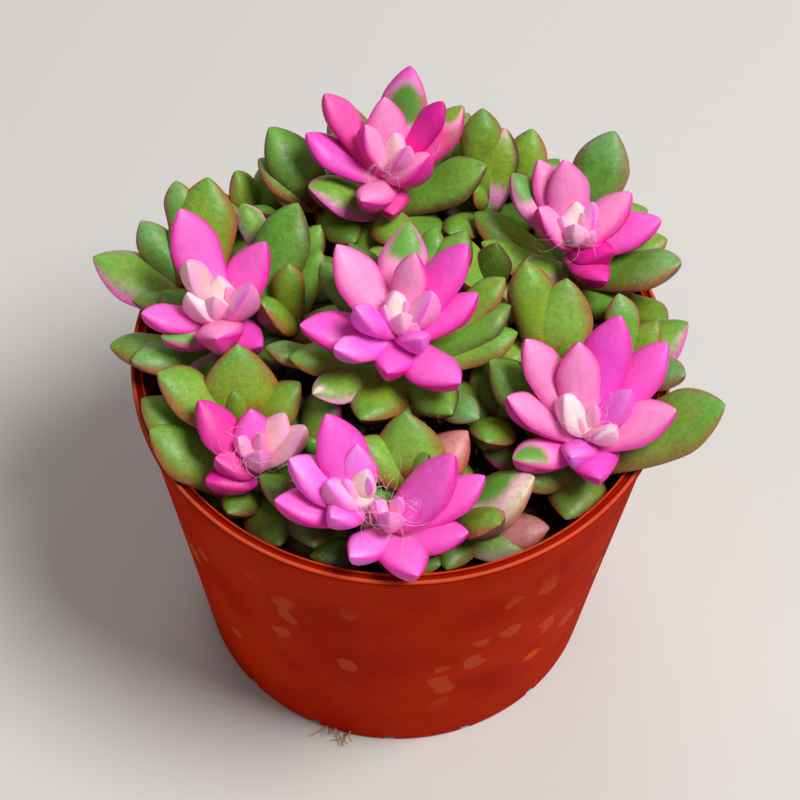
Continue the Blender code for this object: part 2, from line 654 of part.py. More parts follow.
def main():
    for obj in list(bpy.data.objects):
        bpy.data.objects.remove(obj)
    scene = bpy.context.scene
    parts = bpy.data.collections.new("potted sunrise succulent")
    cutters = bpy.data.collections.new("cutters")
    workshop = bpy.data.collections.new("workshop")
    for collection in (parts, cutters, workshop):
        scene.collection.children.link(collection)

    plastic = make_material("pot plastic", POT_PLASTIC)
    dark = make_material("soil", SOIL_DARK)
    pink = make_material("pink leaf", PINK_LEAF)
    green = make_material("green leaf", GREEN_LEAF)

    garden = Garden()
    pot = make_pot(parts, cutters, plastic)
    soil = make_soil(parts, cutters, dark)
    add_object(garden, "pot", pot)
    add_object(garden, "soil", soil)

    # Stems and cores first, so that every leaf keeps clear of them
    solids = {}
    roots = {}
    feet = []
    for name, (foot, heads) in ROSETTES.items():
        junction = min(centre[2] for centre, _ in heads) * MM - NECK
        solids["rosette_" + name] = make_cores(name, foot, heads, junction, workshop)
        stem = upright_stem(name, foot, junction - GAP / 2, STEM_RADIUS, workshop)
        solids["greens_" + name] = [stem]
        roots["greens_" + name] = roots_below(Vector((foot[0] * MM, foot[1] * MM, junction)), STEM_DROP)
        feet.append((foot[0] * MM, foot[1] * MM, STEM_RADIUS))
    for name, (top, _) in SHOOTS.items():
        stem = upright_stem(name, top, top[2] * MM - CORE_TOP, SHOOT_RADIUS, workshop)
        solids["shoot_" + name] = [stem]
        roots["shoot_" + name] = roots_below(Vector(top) * MM, HEAD_DROP)
        feet.append((top[0] * MM, top[1] * MM, SHOOT_RADIUS))
    for owner, stems in solids.items():
        for stem in stems:
            add_object(garden, owner, stem)

    # Pink leaves, then the green ones that show, then those that fill the gaps
    ways = ways_to_bend()
    leaves = {owner: [] for owner in solids}
    for name, (_, heads) in ROSETTES.items():
        for centre, rows in heads:
            owner = "rosette_" + name
            root_at = roots_below(Vector(centre) * MM, HEAD_DROP)
            leaves[owner] += place_leaves(garden, owner, root_at, rows, PINK, ways, PINK_EFFORT)
    for owner, row in widest_first():
        leaves[owner] += place_leaves(garden, owner, roots[owner], [row], GREEN, ways, GREEN_EFFORT)
    for turn, owner in enumerate(roots):
        rows = STEM_FILL
        if owner.startswith("shoot_"):
            rows = BUDDED_FILL if leaves[owner] else SHOOT_FILL
        fillers = clear_bearings(rows, turn * FILL_TURN, [row for _, row, _ in leaves[owner]])
        leaves[owner] += place_leaves(garden, owner, roots[owner], fillers, GREEN, ways, FILL_EFFORT)

    for owner, stems in solids.items():
        fuse(owner, stems, leaves[owner], parts, pink if owner.startswith("rosette_") else green)
    drill_soil(soil, feet, cutters)
    bpy.data.collections.remove(workshop)


main()
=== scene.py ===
"""The looks of a potted sunrise succulent: every leaf, the pot, the soil and the light on them.

Units are metres, +Z is up, and the origin is the centre of the pot's base. The solids of the frame hold the
sizes. The leaves are placed here by the same rule and the same numbers as in the solids, and drawn finer.
"""

import json
from math import cos, hypot, pi, radians, sin, sqrt
from random import Random

import bmesh
import bpy
import numpy as np
from mathutils import Matrix, Vector
from mathutils.bvhtree import BVHTree

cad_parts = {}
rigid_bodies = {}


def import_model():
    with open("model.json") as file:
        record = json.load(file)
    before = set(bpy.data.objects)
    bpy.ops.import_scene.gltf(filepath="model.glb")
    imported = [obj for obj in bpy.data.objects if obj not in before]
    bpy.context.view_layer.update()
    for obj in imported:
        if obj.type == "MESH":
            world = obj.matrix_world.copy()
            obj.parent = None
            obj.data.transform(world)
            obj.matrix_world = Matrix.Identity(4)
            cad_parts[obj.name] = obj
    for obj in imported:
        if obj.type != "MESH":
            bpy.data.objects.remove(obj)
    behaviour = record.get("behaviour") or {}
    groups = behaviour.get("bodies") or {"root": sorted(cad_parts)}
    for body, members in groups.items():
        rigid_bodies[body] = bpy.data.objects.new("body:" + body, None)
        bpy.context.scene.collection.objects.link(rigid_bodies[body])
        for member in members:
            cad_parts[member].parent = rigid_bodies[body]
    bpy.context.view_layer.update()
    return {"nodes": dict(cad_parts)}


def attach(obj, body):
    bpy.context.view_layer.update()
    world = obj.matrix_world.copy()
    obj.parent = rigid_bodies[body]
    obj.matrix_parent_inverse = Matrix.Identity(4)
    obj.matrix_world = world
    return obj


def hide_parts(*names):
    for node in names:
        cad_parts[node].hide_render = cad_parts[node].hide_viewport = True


MM = 0.001
GAP = 0.3 * MM                     # clearance between neighbouring pieces

# Pot
POT_HEIGHT = 70 * MM
RIM_RADIUS = 45 * MM
BASE_RADIUS = 36 * MM
WALL = 1.1 * MM
FLOOR = 1.3 * MM
BEAD = 0.5 * MM                    # how far the rim bead stands out
LEDGE_WIDTH = 2.0 * MM             # rim, from its outer edge to its inner one
RIM_BAND = 1.6 * MM                # height of the thicker band along the rim
BAND_SLOPE = 0.8 * MM              # and of the slope from it to the wall
OUTER_LIP = 0.7 * MM               # width of the rim's outer bead
INNER_LIP = 0.35 * MM              # and of the thin ring inside its sunken ledge
LEDGE_DROP = 0.7 * MM
EASE = 0.2 * MM                    # small chamfers of the rim and the foot
FOOT_WIDTH = 1.6 * MM
FOOT_HEIGHT = 1.5 * MM             # raised ring channel under the floor
PAD_RADIUS = 22 * MM               # flat middle of the base, on the ground
POT_SEGMENTS = 192
WALL_STEPS = 30                    # rings along the outer wall
LIP_STEPS = 6                      # points along the half round of each lip
WALL_RIPPLE = 0.10 * MM            # how far the thin wall wanders from a true cone
RIPPLES = ((3, 40, 0.0), (5, -70, 1.0))     # waves round it, radians up each metre, and start
DRAIN_HOLES = 8
DRAIN_RADIUS = 2.5 * MM
DRAIN_SIDES = 24
NOTCHES = 16
NOTCH_WIDTH = 2.0 * MM
NOTCH_ROOF = 0.1 * MM
NOTCH_TURN = radians(22)
MERGE = 0.02 * MM
SHARP = radians(40)                # edges that turn more than this stay sharp
FLAKE_SIZE = 5.4 * MM              # pale flaked blotches on the wall
FLAKE_SHARE = 0.24
FLAKE_STRETCH = (1.0, 1.0, 0.75)   # less than 1 makes them longer that way
FLAKES_FROM = (8 * MM, 22 * MM, 0.45)   # they come in between these heights, up to a share
FLAKES_TO = (60 * MM, 48 * MM)     # and are gone above these
HIGHLIGHT_SPOT = (24 * MM, -29.5 * MM, 22 * MM)   # a painted highlight, a brighter spot on the wall
HIGHLIGHT_RADIUS = 3.2 * MM
MOULD_LINE = 1.1 * MM              # height of the faint lines that its mould left

# Soil
SOIL_LEVEL = 61 * MM
SOIL_DOME = 1.5 * MM               # the soil's middle stands this much higher than its edge
SOIL_SEGMENTS = 120
SOIL_RINGS = 40
SOIL_ROUGH = (-0.5 * MM, 0.2 * MM)     # how far its crumbs lie under and over it
STONES = 10
STONE_SIZES = (0.8 * MM, 1.7 * MM)
STONE_DEPTHS = (0.7, 1.0)
STONE_HEIGHTS = (0.6, 0.8)
STONE_MARGIN = 3 * MM
STONE_SEED = 3
GRAINS = 420
GRAIN_SIZES = (0.22 * MM, 0.75 * MM)
GRAIN_DEPTHS = (0.6, 1.0)
GRAIN_HEIGHTS = (0.5, 0.9)
GRIT_ROUGH = 0.04 * MM
GRAIN_SEED = 8

# Stems
STEM_RADIUS = 1.7 * MM
SHOOT_RADIUS = 1.3 * MM
STEM_DEPTH = 10 * MM
STEM_SIDES = 6                     # sides of the plain stems that the search for places uses
FINE_STEM_SIDES = 16
FINE_STEM_RINGS = 8
STEM_ROUGH = 0.06                  # how much thinner a ring may be, over its radius
NECK = 8.5 * MM
CORE_TOP = 1.2 * MM
FORK_STEP = 0.3 * MM

# Leaves: the same sizes as the solids have
ROOT_WIDTH = 0.56
ROOT_DEPTH = 0.60
PINK = (0.70, 0.78, 1.50, 0.30)    # thickness over width, widest point to tip over width, the edges'
GREEN = (0.62, 0.68, 1.65, 0.47)   # fullness there, and share of the thickness on top
LEAST_WIDEST = 0.35
MOST_THICK = 5.2 * MM
SAG = 0.10
ROOT_START = 0.4 * MM
RING_STEP = 0.92
TIP_RING = 0.5
LEAST_DROP = 1.7 * MM
HEAD_DROP = (75, 0.07 * MM)
STEM_DROP = (60, 0.06 * MM)

# Leaves: what makes them fine
LEAF_RINGS = 17
LEAF_SIDES = 24
TIP_PACKING = 1.6                  # more puts the rings closer together towards the tip
TIP_ROUND = 0.80                   # less makes the tip blunter
UPPER_ROUND = (2.4, 0.75)          # upper face across the leaf: (1 - |x| ** first) ** second
LOWER_ROUND = (1.6, 0.85)          # and the underside; a lower second value rounds the margin more
MOST_ROLL = 7                      # degrees at the root
MOST_TWIST = 9                     # and what the tip adds
MOST_BOW = 0.035                   # sideways bow over the reach
MOST_WAVE = 0.03                   # ripple of the outline over the width
WAVE_TURNS = 7                     # radians of it along the leaf
LEAF_SEED = 21

# Where a leaf's colours meet: over its length from root to tip, or over half its width from the middle
BODY_STARTS = (0.08, 0.38)
TIP_STARTS = (0.62, 1.05)
MARGIN_STARTS = (0.74, 1.0)
BLUSHED = (0.40, 0.98, 0.28)       # the margin's colour spreads in between these, up to a share
UNDER_STARTS = (-0.02, -0.30, 0.88)     # over the thickness, and the share of its colour
PATCH_BORDER = (1.9, 1.0, 0.70)    # over the patch's size, and the share of the pale colour
PATCH_STARTS = (1.3, 0.75)
STAINED = (0.48, 0.72)
STREAK_STRETCH = (1.2, 4.5, 1.0)   # more makes the fine streaks narrower that way
SHADED = (79 * MM, 65 * MM)        # painted shade: leaves take on a dark red between these heights and below them, deep among the others

# Search for clear places, as in the solids
TILTS = (0, 4, -4, 8, -8, 12, -12, 16, -16, 20, -20, 25)
TURNS = (0, 5, -5, 10, -10, 15, -15)
SCALES = (1.0, 0.94, 0.88, 0.82)
SEARCH_STEPS = (4, 5, 0.05)
PINK_EFFORT = 12
GREEN_EFFORT = 14
FILL_EFFORT = 6
GOLDEN_ANGLE = 137.5
FILL_TURN = 53
FILL_SPREAD = 30

# Small leaves in the middle of a rosette: elevation, reach and width in mm, turning by the golden angle
BUDS = [(76, 4.8, 3.0), (64, 5.8, 3.8), (54, 6.4, 4.0), (46, 6.8, 4.0)]
SMALL_HEAD = 8                     # a head with fewer leaves than this has only the first two
BUD_LOOKS = {"rosette_front": "pale"}    # the others are "bud"
BUD_TURN = 40

# Hairs in the rosettes
HAIRS = 26                         # on each head
HAIR_LENGTHS = (4 * MM, 8.5 * MM)
HAIR_RADIUS = 0.032 * MM
HAIR_STEPS = 12
HAIR_SIDES = 3
HAIR_CURL = 1.1 * MM
HAIR_AWAY = (0.8, 3.6)             # mm from the middle of the head
HAIR_RISE = (-1.5, 1.5)            # and mm over it
HAIR_LIFT = (0.4, 1.6)             # how steeply a hair starts, over 1 outwards
THREAD_TAPER = 0.6                 # how much thinner a thread is at its far end
THREAD_TURNS = (0.4, 1.0)          # how evenly it curls
ASKEW = (0.3, 0.5, 0.8)            # a direction beside every thread's own
HAIR_SEED = 5

# Dry roots that come out under the pot
FIBRES = 11
FIBRE_BEARINGS = (-112, -100)      # degrees
FIBRE_REACHES = (32.5 * MM, 35 * MM)
FIBRE_HEIGHTS = (0.4 * MM, 1.2 * MM)
FIBRE_LENGTHS = (3 * MM, 7 * MM)
FIBRE_RADIUS = 0.19 * MM
FIBRE_LEVEL = 1.5 * FIBRE_RADIUS   # they lie no lower than this
FIBRE_CURL = 3.5 * MM
FIBRE_SIDES = 6
FIBRE_SEED = 12

# Camera, from the photograph: it looks along +Y from in front and above
CAMERA_HEIGHT = 54.4               # degrees above the horizontal
CAMERA_ROLL = 1.4                  # degrees
CAMERA_DISTANCE = 389.6 * MM
CAMERA_TARGET = (0.0, 0.0, 56.2 * MM)
CAMERA_LENS = 102.06               # millimetres, on a sensor 36 wide
SENSOR = 36
CLIPS = (10 * MM, 10.0)            # nearest and farthest it sees, in metres

# Studio floor in metres, and light: each lamp's name, place, size in metres, watts and colour
FLOOR_SIZE = 4.0
WORLD_LIGHT = 0.16
WORLD_COLOUR = (0.95, 0.97, 1.0, 1.0)
LIGHTS = [
    ("key", (0.38, -0.14, 0.82), 0.38, 7.4, (1.0, 0.985, 0.96)),
    ("fill", (-0.60, -0.50, 0.45), 0.70, 0.5, (0.95, 0.97, 1.0)),
    ("back", (-0.10, 0.60, 0.60), 0.60, 1.4, (1.0, 0.98, 0.97)),
]

# Rosettes. The plant stands at (x, y). Each head is its centre (x, y, z in mm) and its leaves (bearing,
# elevation, reach in mm, width in mm, look). Bearings run anticlockwise from +X.
ROSETTES = {
    "back": ((-2.7, 26.5), [
        ((-2.7, 26.5, 88), [
            (75, 50, 18.5, 8.6, "midspot"), (150, 45, 18, 6.6, "magenta"), (100, 62, 13, 7.8, "pastel"),
            (170, 30, 16.5, 6.8, "pink"), (-115, 28, 12, 6.5, "pastel"), (-85, 10, 9, 6.8, "magenta"),
            (-20, 48, 10.5, 7.5, "pastel"), (30, 52, 16, 5.5, "magenta"), (35, 32, 17.5, 7, "browntip"),
            (165, 66, 10.5, 5.6, "pastel"), (60, 76, 7, 5, "cream"), (-30, 66, 8.5, 5, "pale")])]),
    "back_right": ((28.3, 14.4), [
        ((28.3, 14.4, 86), [
            (110, 60, 14, 7.5, "pastel"), (127, 45, 15.2, 6.2, "pastel"), (25, 42, 13, 7.5, "pastel"),
            (5, 25, 15.5, 7.5, "pink"), (175, 50, 10, 8, "pastel"), (145, 35, 16, 7, "greentip"),
            (-35, 30, 8.5, 7, "magenta"), (-60, 8, 10.5, 7, "magenta"), (96, 72, 6.5, 5.2, "cream"),
            (35, 66, 7.5, 5.6, "pale"), (-100, 68, 6.5, 5, "cream")])]),
    "centre": ((-0.3, -8.1), [
        ((-0.3, -8.1, 90), [
            (140, 40, 17.5, 8.2, "pastel"), (86, 35, 18, 8.2, "greentip"), (70, 62, 13, 6.2, "pastel"),
            (42, 40, 18, 7.4, "pink"), (15, 30, 14.5, 6.8, "pink"), (-50, 12, 15.5, 8.2, "pink"),
            (-100, 22, 11, 7.6, "pink"), (-176, 12, 16.5, 8.4, "pink"), (-142, 28, 14.5, 5.5, "violet"),
            (-160, 50, 11.5, 6, "violet"), (5, 60, 10, 6.6, "pale"), (-60, 42, 9.5, 5.4, "violet"),
            (120, 75, 6.5, 5, "cream"), (-80, 70, 6, 4.8, "cream")])]),
    "left": ((-29.1, -1.3), [
        ((-29.1, -1.3, 84), [
            (125, 52, 19, 8.5, "pink"), (45, 48, 14.5, 8.6, "pink"), (160, 62, 12, 6.2, "peach"),
            (-165, 25, 14.5, 6, "pink"), (-150, 8, 11.5, 7.5, "spot"), (-90, 38, 13, 8, "pastel"),
            (-45, 14, 10, 7.6, "pink"), (-18, 60, 10.5, 6.8, "pale"), (-165, 52, 9, 6.6, "cream"),
            (105, 74, 6.5, 5.2, "cream"), (-110, 70, 6.5, 5, "cream")])]),
    "right": ((29.8, -20.2), [
        ((29.8, -20.2, 80), [
            (140, 45, 19, 7.2, "pastel"), (106, 60, 15.5, 7.4, "pastel"), (70, 50, 20, 8.2, "orchid"),
            (41, 35, 20, 7.4, "pink"), (-3, 34, 16.2, 9.2, "pastel"), (20, 52, 11, 6.6, "violet"),
            (176, 35, 16, 7.2, "pastel"), (165, 62, 9, 6.4, "cream"), (-152, 12, 14, 7.4, "spot"),
            (-112, 32, 9, 6.2, "violet"), (-80, 16, 10.5, 8.6, "pink"), (-45, 50, 8.5, 4.8, "cream")])]),
    "front": ((-3.3, -35.4), [
        ((-5.7, -34.3, 80), [
            (124, 50, 15.5, 9, "pink"), (169, 39, 14.5, 8.6, "violet"), (-170, 22, 14.5, 8.6, "pink"),
            (-165, 54, 9, 6.2, "pale"), (98, 58, 9.5, 6.2, "violet"), (-126, 38, 9.5, 6.2, "violet"),
            (60, 76, 5.5, 4.8, "cream")]),
        ((-0.8, -36.9, 78), [
            (17, 50, 8, 6.2, "pink"), (30, 48, 16, 9, "pink"), (22, 25, 17, 7, "pink"),
            (-8, 15, 12.5, 7.5, "pink"), (-130, 22, 10.5, 6.5, "violet"), (-68, 6, 11.5, 8.4, "pink"),
            (-98, 68, 5.5, 4.8, "pale")])]),
    "left_front": ((-22.6, -25.6), [
        ((-22.6, -25.6, 78), [
            (150, 42, 14, 7.6, "magenta"), (100, 55, 8.5, 8, "pink"), (-155, 38, 8.5, 6.6, "magenta"),
            (-148, 15, 9.5, 7.4, "magenta"), (44, 50, 9.5, 6.4, "peach"), (15, 42, 11, 6, "peach"),
            (-70, 62, 6.5, 5.2, "pale")])]),
}

# Green lower leaves of those plants, from the same stems: (bearing, elevation, reach, width, look)
GREENS = {
    "back": [
        (-165, 20, 16.5, 10, "pinkedge"), (6, 30, 19, 9.5, "rededge"), (20, 12, 19.5, 8, "russet")],
    "back_right": [
        (-6, 20, 17.5, 9, "green"), (-18, 10, 21, 9, "emerald"), (-36, 10, 14, 7.5, "rededge"),
        (155, 20, 19.5, 7, "olive"), (172, 20, 16.5, 7, "green"), (-165, 30, 10, 6, "blush")],
    "centre": [
        (137, 30, 20.5, 5.6, "rededge"), (-171, 20, 18.5, 6.6, "green"), (179, 10, 22, 5.6, "emerald"),
        (-144, 17, 17.5, 6.6, "whitetip"), (-113, 15, 15.5, 9, "russet"), (-55, 15, 15.5, 8, "rededge"),
        (0, 15, 20, 6.8, "green"), (22, 20, 20.5, 7.2, "rededge"), (32, 26, 22, 6, "olive"),
        (60, 30, 24, 7, "rededge"), (74, 30, 23, 5, "green"), (118, 30, 21, 7.6, "maroon"),
        (-40, 5, 17, 6, "emerald"), (-82, 2, 11.5, 8, "emerald")],
    "left": [
        (28, 20, 13, 7, "emerald"), (-170, 10, 19.5, 8, "green"), (-155, 18, 17, 8, "emerald"),
        (-113, 15, 15, 8.5, "white"), (58, 35, 26.5, 10, "rededge")],
    "right": [
        (0, 34, 26, 12, "green"), (-100, 4, 11.5, 10.5, "green"), (152, 20, 23, 9.5, "rededge"),
        (178, 10, 16.5, 7, "pinkedge"), (10, 22, 10, 5.5, "russet")],
    "front": [
        (-150, 15, 13, 7.5, "maroon"), (165, 10, 15, 7, "green")],
    "left_front": [
        (172, 35, 20.5, 11, "green"), (-56, 15, 15, 9.5, "green"), (148, 20, 24, 10.5, "olive"),
        (-120, 8, 11, 7, "green")],
}

# Side shoots with their own stems: top centre (x, y, z in mm) and leaves, as above
SHOOTS = {
    "west": ((-35, 8, 79), [
        (170, 20, 18, 11, "pinkedge"), (80, 45, 19, 11.5, "olive"), (134, 30, 15, 6.5, "emerald"),
        (103, 42, 18.5, 6, "emerald")]),
    "northwest": ((-20, 12, 78), [
        (130, 38, 14.5, 5, "blush"), (85, 25, 10, 6, "emerald"), (45, 40, 11, 6, "rededge")]),
    "north_left": ((-14, 27, 81), [
        (142, 40, 15.5, 9.5, "rededge"), (160, 28, 13.5, 7, "emerald"), (176, 18, 9, 5, "russet")]),
    "north_right": ((14, 27, 78), [(97, 50, 18, 7.5, "redside"), (73, 50, 15, 8, "halfpink")]),
    "northeast": ((30.5, 24, 79), [(66, 46, 17, 10, "emerald")]),
    "east": ((37.5, -3, 75), [
        (25, 30, 13, 9, "pinkedge"), (48, 42, 9.5, 6, "russet"), (105, 30, 12.5, 6, "emerald")]),
    "inner_east": ((25, -5, 77), [(80, 50, 15, 11.5, "green"), (115, 48, 18.5, 8, "olive")]),
    "inner_south": ((2, -28, 76), [(100, 55, 12, 12, "green"), (38, 30, 13, 8.5, "dusty")]),
    "inner_west": ((-18, 1, 78), [(98, 45, 11, 5.6, "olive"), (70, 35, 14.5, 5, "green")]),
    "southwest": ((-25, -18, 76), [(98, 55, 14, 13, "olive"), (170, 25, 18, 10, "green")]),
    "southeast": ((9.5, -32, 72), [
        (24, 32, 15, 10.5, "white"), (-16, 4, 12.5, 9, "blush"), (-100, 8, 8.5, 8, "green"),
        (-3, 9, 15, 6.5, "dusty")]),
    "south_left": ((-14.5, -29.5, 74), [(-86, 8, 10.5, 8, "maroon"), (170, 15, 9, 7.5, "green")]),
    "inner_southwest": ((-14, -20, 74), []),
    "inner_southeast": ((17, -14, 75), []),
    "inner_north": ((1, 11, 77), []),
    "inner_northeast": ((15, 10, 77), []),
    "rear_left": ((-26, 29, 73), []),
    "rear_mid_left": ((-9, 37.5, 77), []),
    "rear_mid_right": ((8, 38, 76), []),
    "rear_right": ((20, 33, 77), []),
    "rear_east": ((37, 12, 76), []),
}

# Leaves that fill round a stem where there is room: (elevation, reach, width) from the top down
STEM_FILL = [
    (34, 14, 8.5), (28, 14, 8.5), (24, 13, 8), (18, 13, 8), (12, 12, 7.5), (8, 12, 7.5), (4, 11, 7),
    (0, 11, 7)]
SHOOT_FILL = [
    (62, 9, 6.5), (52, 11, 7.5), (44, 12, 8), (36, 12.5, 8), (28, 12, 7.5), (18, 11, 7), (8, 10, 7)]
BUDDED_FILL = [
    (66, 6.5, 4.6), (44, 12, 8), (36, 12.5, 8), (28, 12, 7.5), (18, 11, 7), (8, 10, 7)]
FILL_LOOKS = (
    "green", "rededge", "olive", "redside", "green", "maroon", "emerald", "redside", "pinkedge", "olive")
FILL_SEED = 4


def srgb(red, green, blue):
    """A colour given as it looks on a screen, 0 to 255, as linear light."""
    return tuple((channel / 255) ** 2.2 for channel in (red, green, blue))


# Colours of leaves
PASTEL = srgb(253, 142, 206)
ROSE = srgb(250, 82, 208)
HOT = srgb(236, 16, 164)
ORCHID = srgb(250, 72, 216)
DEEP = srgb(200, 16, 120)
LILAC = srgb(249, 138, 234)
VIOLET = srgb(248, 98, 228)
BLOSSOM = srgb(253, 172, 216)
CREAM = srgb(255, 232, 228)
PEACH = srgb(246, 188, 190)
DUSTY = srgb(228, 118, 150)
IVORY = srgb(240, 228, 200)
OLIVE = srgb(128, 162, 46)
LIME = srgb(128, 179, 68)
LEAF = srgb(98, 161, 58)
MOSS = srgb(76, 118, 36)
SEA = srgb(112, 164, 102)
UMBER = srgb(96, 66, 36)
RUST = srgb(150, 84, 44)
BRICK = srgb(176, 70, 60)
WINE = srgb(92, 30, 38)
# painted shade, laid on the leaves deep among the others
PAINTED_SHADE_RED = srgb(64, 20, 16)
PLUM = srgb(70, 22, 30)
DUSK = srgb(60, 40, 28)

# Colours of the pot, the soil, the grit, the hairs and the roots, and of the floor
POT_RED = srgb(174, 32, 0)
POT_ORANGE = srgb(194, 46, 2)
FLAKE = srgb(210, 96, 62)
# painted highlight on the pot's wall
PAINTED_HIGHLIGHT = srgb(236, 90, 6)
# painted highlight on the rim's lips
LIP_HIGHLIGHT = srgb(226, 104, 70)
# painted shade in the rim's sunken ledge
LEDGE_SHADE = srgb(92, 16, 2)
GRIME = srgb(96, 34, 20)
SOIL_BLACK = srgb(20, 14, 12)
SOIL_BROWN = srgb(72, 50, 36)
SPECK = srgb(150, 134, 112)
GRIT_GREY = srgb(120, 114, 106)
GRIT_PALE = srgb(205, 198, 188)
HAIR_WHITE = srgb(250, 244, 240)
HAIR_TAN = srgb(232, 214, 200)
FIBRE_TAN = srgb(160, 116, 74)
FIBRE_PALE = srgb(222, 186, 134)
FLOOR_GREY = (0.66, 0.65, 0.63)
FLOOR_PALE = (0.70, 0.69, 0.67)

# A leaf's look: colours at its root, body, tip, margin and underside, then its patch: colour, place along and
# across the leaf, and size over its width. A patch of size 0 isn't there.
NO_PATCH = (LEAF, 0.5, 0.0, 0.0)
NO_PATCH_NEAR = 9.0                # the distance to a patch that isn't there
LOOKS = {
    "pastel": (BLOSSOM, PASTEL, PASTEL, HOT, HOT, NO_PATCH),
    "pink": (PASTEL, ROSE, ROSE, HOT, HOT, NO_PATCH),
    "orchid": (PASTEL, ORCHID, ROSE, HOT, HOT, NO_PATCH),
    "magenta": (ROSE, HOT, HOT, DEEP, DEEP, NO_PATCH),
    "violet": (CREAM, VIOLET, LILAC, HOT, VIOLET, NO_PATCH),
    "pale": (CREAM, BLOSSOM, LILAC, ROSE, PASTEL, NO_PATCH),
    "cream": (IVORY, CREAM, CREAM, BLOSSOM, BLOSSOM, NO_PATCH),
    "bud": (CREAM, BLOSSOM, BLOSSOM, PASTEL, PASTEL, NO_PATCH),
    "peach": (PEACH, PEACH, BLOSSOM, BLOSSOM, PEACH, (UMBER, 1.0, 0.0, 0.08)),
    "spot": (PASTEL, ROSE, HOT, HOT, HOT, (LEAF, 0.88, 0.45, 0.50)),
    "midspot": (PASTEL, ROSE, ROSE, HOT, HOT, (LEAF, 0.66, -0.25, 0.40)),
    "greentip": (BLOSSOM, PASTEL, LEAF, ROSE, HOT, (LEAF, 0.88, 0.0, 0.50)),
    "browntip": (ROSE, HOT, RUST, DEEP, HOT, (OLIVE, 0.90, 0.25, 0.34)),
    "halfpink": (ROSE, ROSE, OLIVE, PLUM, WINE, (OLIVE, 0.62, -0.75, 0.62)),
    "green": (RUST, LIME, LEAF, BRICK, UMBER, NO_PATCH),
    "emerald": (UMBER, LEAF, SEA, BRICK, UMBER, NO_PATCH),
    "olive": (RUST, OLIVE, LEAF, BRICK, WINE, NO_PATCH),
    "rededge": (WINE, LEAF, LEAF, WINE, WINE, NO_PATCH),
    "redside": (WINE, OLIVE, LEAF, BRICK, WINE, NO_PATCH),
    "pinkedge": (RUST, LIME, LEAF, ROSE, BRICK, NO_PATCH),
    "russet": (RUST, OLIVE, LEAF, BRICK, WINE, NO_PATCH),
    "maroon": (WINE, MOSS, MOSS, WINE, PLUM, NO_PATCH),
    "blush": (PASTEL, LIME, LEAF, BLOSSOM, ROSE, NO_PATCH),
    "dusty": (OLIVE, DUSTY, DUSTY, BRICK, BRICK, NO_PATCH),
    "white": (LEAF, IVORY, IVORY, BRICK, BLOSSOM, (LEAF, 0.55, 0.7, 0.45)),
    "whitetip": (RUST, LIME, LEAF, BLOSSOM, MOSS, (IVORY, 1.0, 0.0, 0.20)),
}
STEM_LOOK = (DUSK, OLIVE, LEAF, RUST, WINE, NO_PATCH)
CORE_LOOK = (BLOSSOM, BLOSSOM, CREAM, ROSE, ROSE, NO_PATCH)
# Share of pale dots (pale speckles, partly painted glints), roughness, glow inside, brightness kept under the
# painted shade deep among the others, strength of stains, and the colour that some leaves drift to with how
# far
LEAF_FINISHES = {
    "pink_leaf": {
        "speckle_and_glint": 0.08, "gloss": 0.34, "glow": 0.18, "shade": 0.80, "mottle": 0.05, "drift": (PEACH, 0.18)},
    "green_leaf": {
        "speckle_and_glint": 0.60, "gloss": 0.34, "glow": 0.07, "shade": 0.62, "mottle": 0.26, "drift": (OLIVE, 0.35)},
}
COLOUR_NAMES = ("leaf_root", "leaf_body", "leaf_tip", "leaf_margin", "leaf_under", "leaf_patch")


def link(obj):
    """Put a new object in the scene."""
    bpy.context.scene.collection.objects.link(obj)
    return obj


def finished_mesh(name, bm):
    """A new mesh from a bmesh, which is freed."""
    mesh = bpy.data.meshes.new(name)
    bm.to_mesh(mesh)
    bm.free()
    return mesh


def smooth_piece(mesh, material):
    """Put a mesh in the scene, smooth and with its material, as an object of the same name."""
    mesh.shade_smooth()
    mesh.materials.append(material)
    return link(bpy.data.objects.new(mesh.name, mesh))


def dress(obj, *nodes, slot):
    """A piece of the part: it rides on the part's one body and stands for its nodes. The slot is not used."""
    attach(obj, "root")
    if nodes:
        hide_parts(*nodes)
    return obj


def polar(radius, bearing, height=0.0):
    """A point at a distance and a bearing in radians from the middle."""
    return Vector((radius * cos(bearing), radius * sin(bearing), height))


def anywhere(draw):
    """A random point of a cube that reaches 1 each way."""
    return Vector([draw.uniform(-1, 1) for _ in range(3)])


def outer_radius(height):
    """Radius of the pot's outer wall at a height, below the rim."""
    return BASE_RADIUS + (RIM_RADIUS - BEAD - BASE_RADIUS) * height / POT_HEIGHT


def inner_radius(height):
    """Radius of the pot's inside wall at a height between its floor and its rim."""
    low_height = FOOT_HEIGHT + FLOOR
    low = outer_radius(low_height) - WALL
    high_height = POT_HEIGHT - RIM_BAND
    high = RIM_RADIUS - LEDGE_WIDTH - EASE
    return low + (high - low) * (height - low_height) / (high_height - low_height)


def soil_height(x, y):
    """Height of the soil's surface, a low dome."""
    share = min(1.0, hypot(x, y) / inner_radius(SOIL_LEVEL))
    return SOIL_LEVEL + SOIL_DOME * (1 - share * share)


def lofted_faces(rings, sides, tip):
    """Faces of a loft, closed at its first ring, that ends in a point, or in a face when it has no tip."""
    faces = [tuple(reversed(range(sides)))]
    for ring in range(rings - 1):
        for index in range(sides):
            after = (index + 1) % sides
            low = ring * sides
            faces.append((low + index, low + after, low + sides + after, low + sides + index))
    last = (rings - 1) * sides
    if tip:
        faces += [(last + index, last + (index + 1) % sides, rings * sides) for index in range(sides)]
    else:
        faces.append(tuple(range(last, last + sides)))
    return faces


def close_loft(bm, rings, tip):
    """Skin rings of the same size, close the first, and end in a point or a closing face."""
    corners = [vertex for ring in rings for vertex in ring] + [tip]
    for face in lofted_faces(len(rings), len(rings[0]), tip):
        bm.faces.new([corners[index] for index in face])


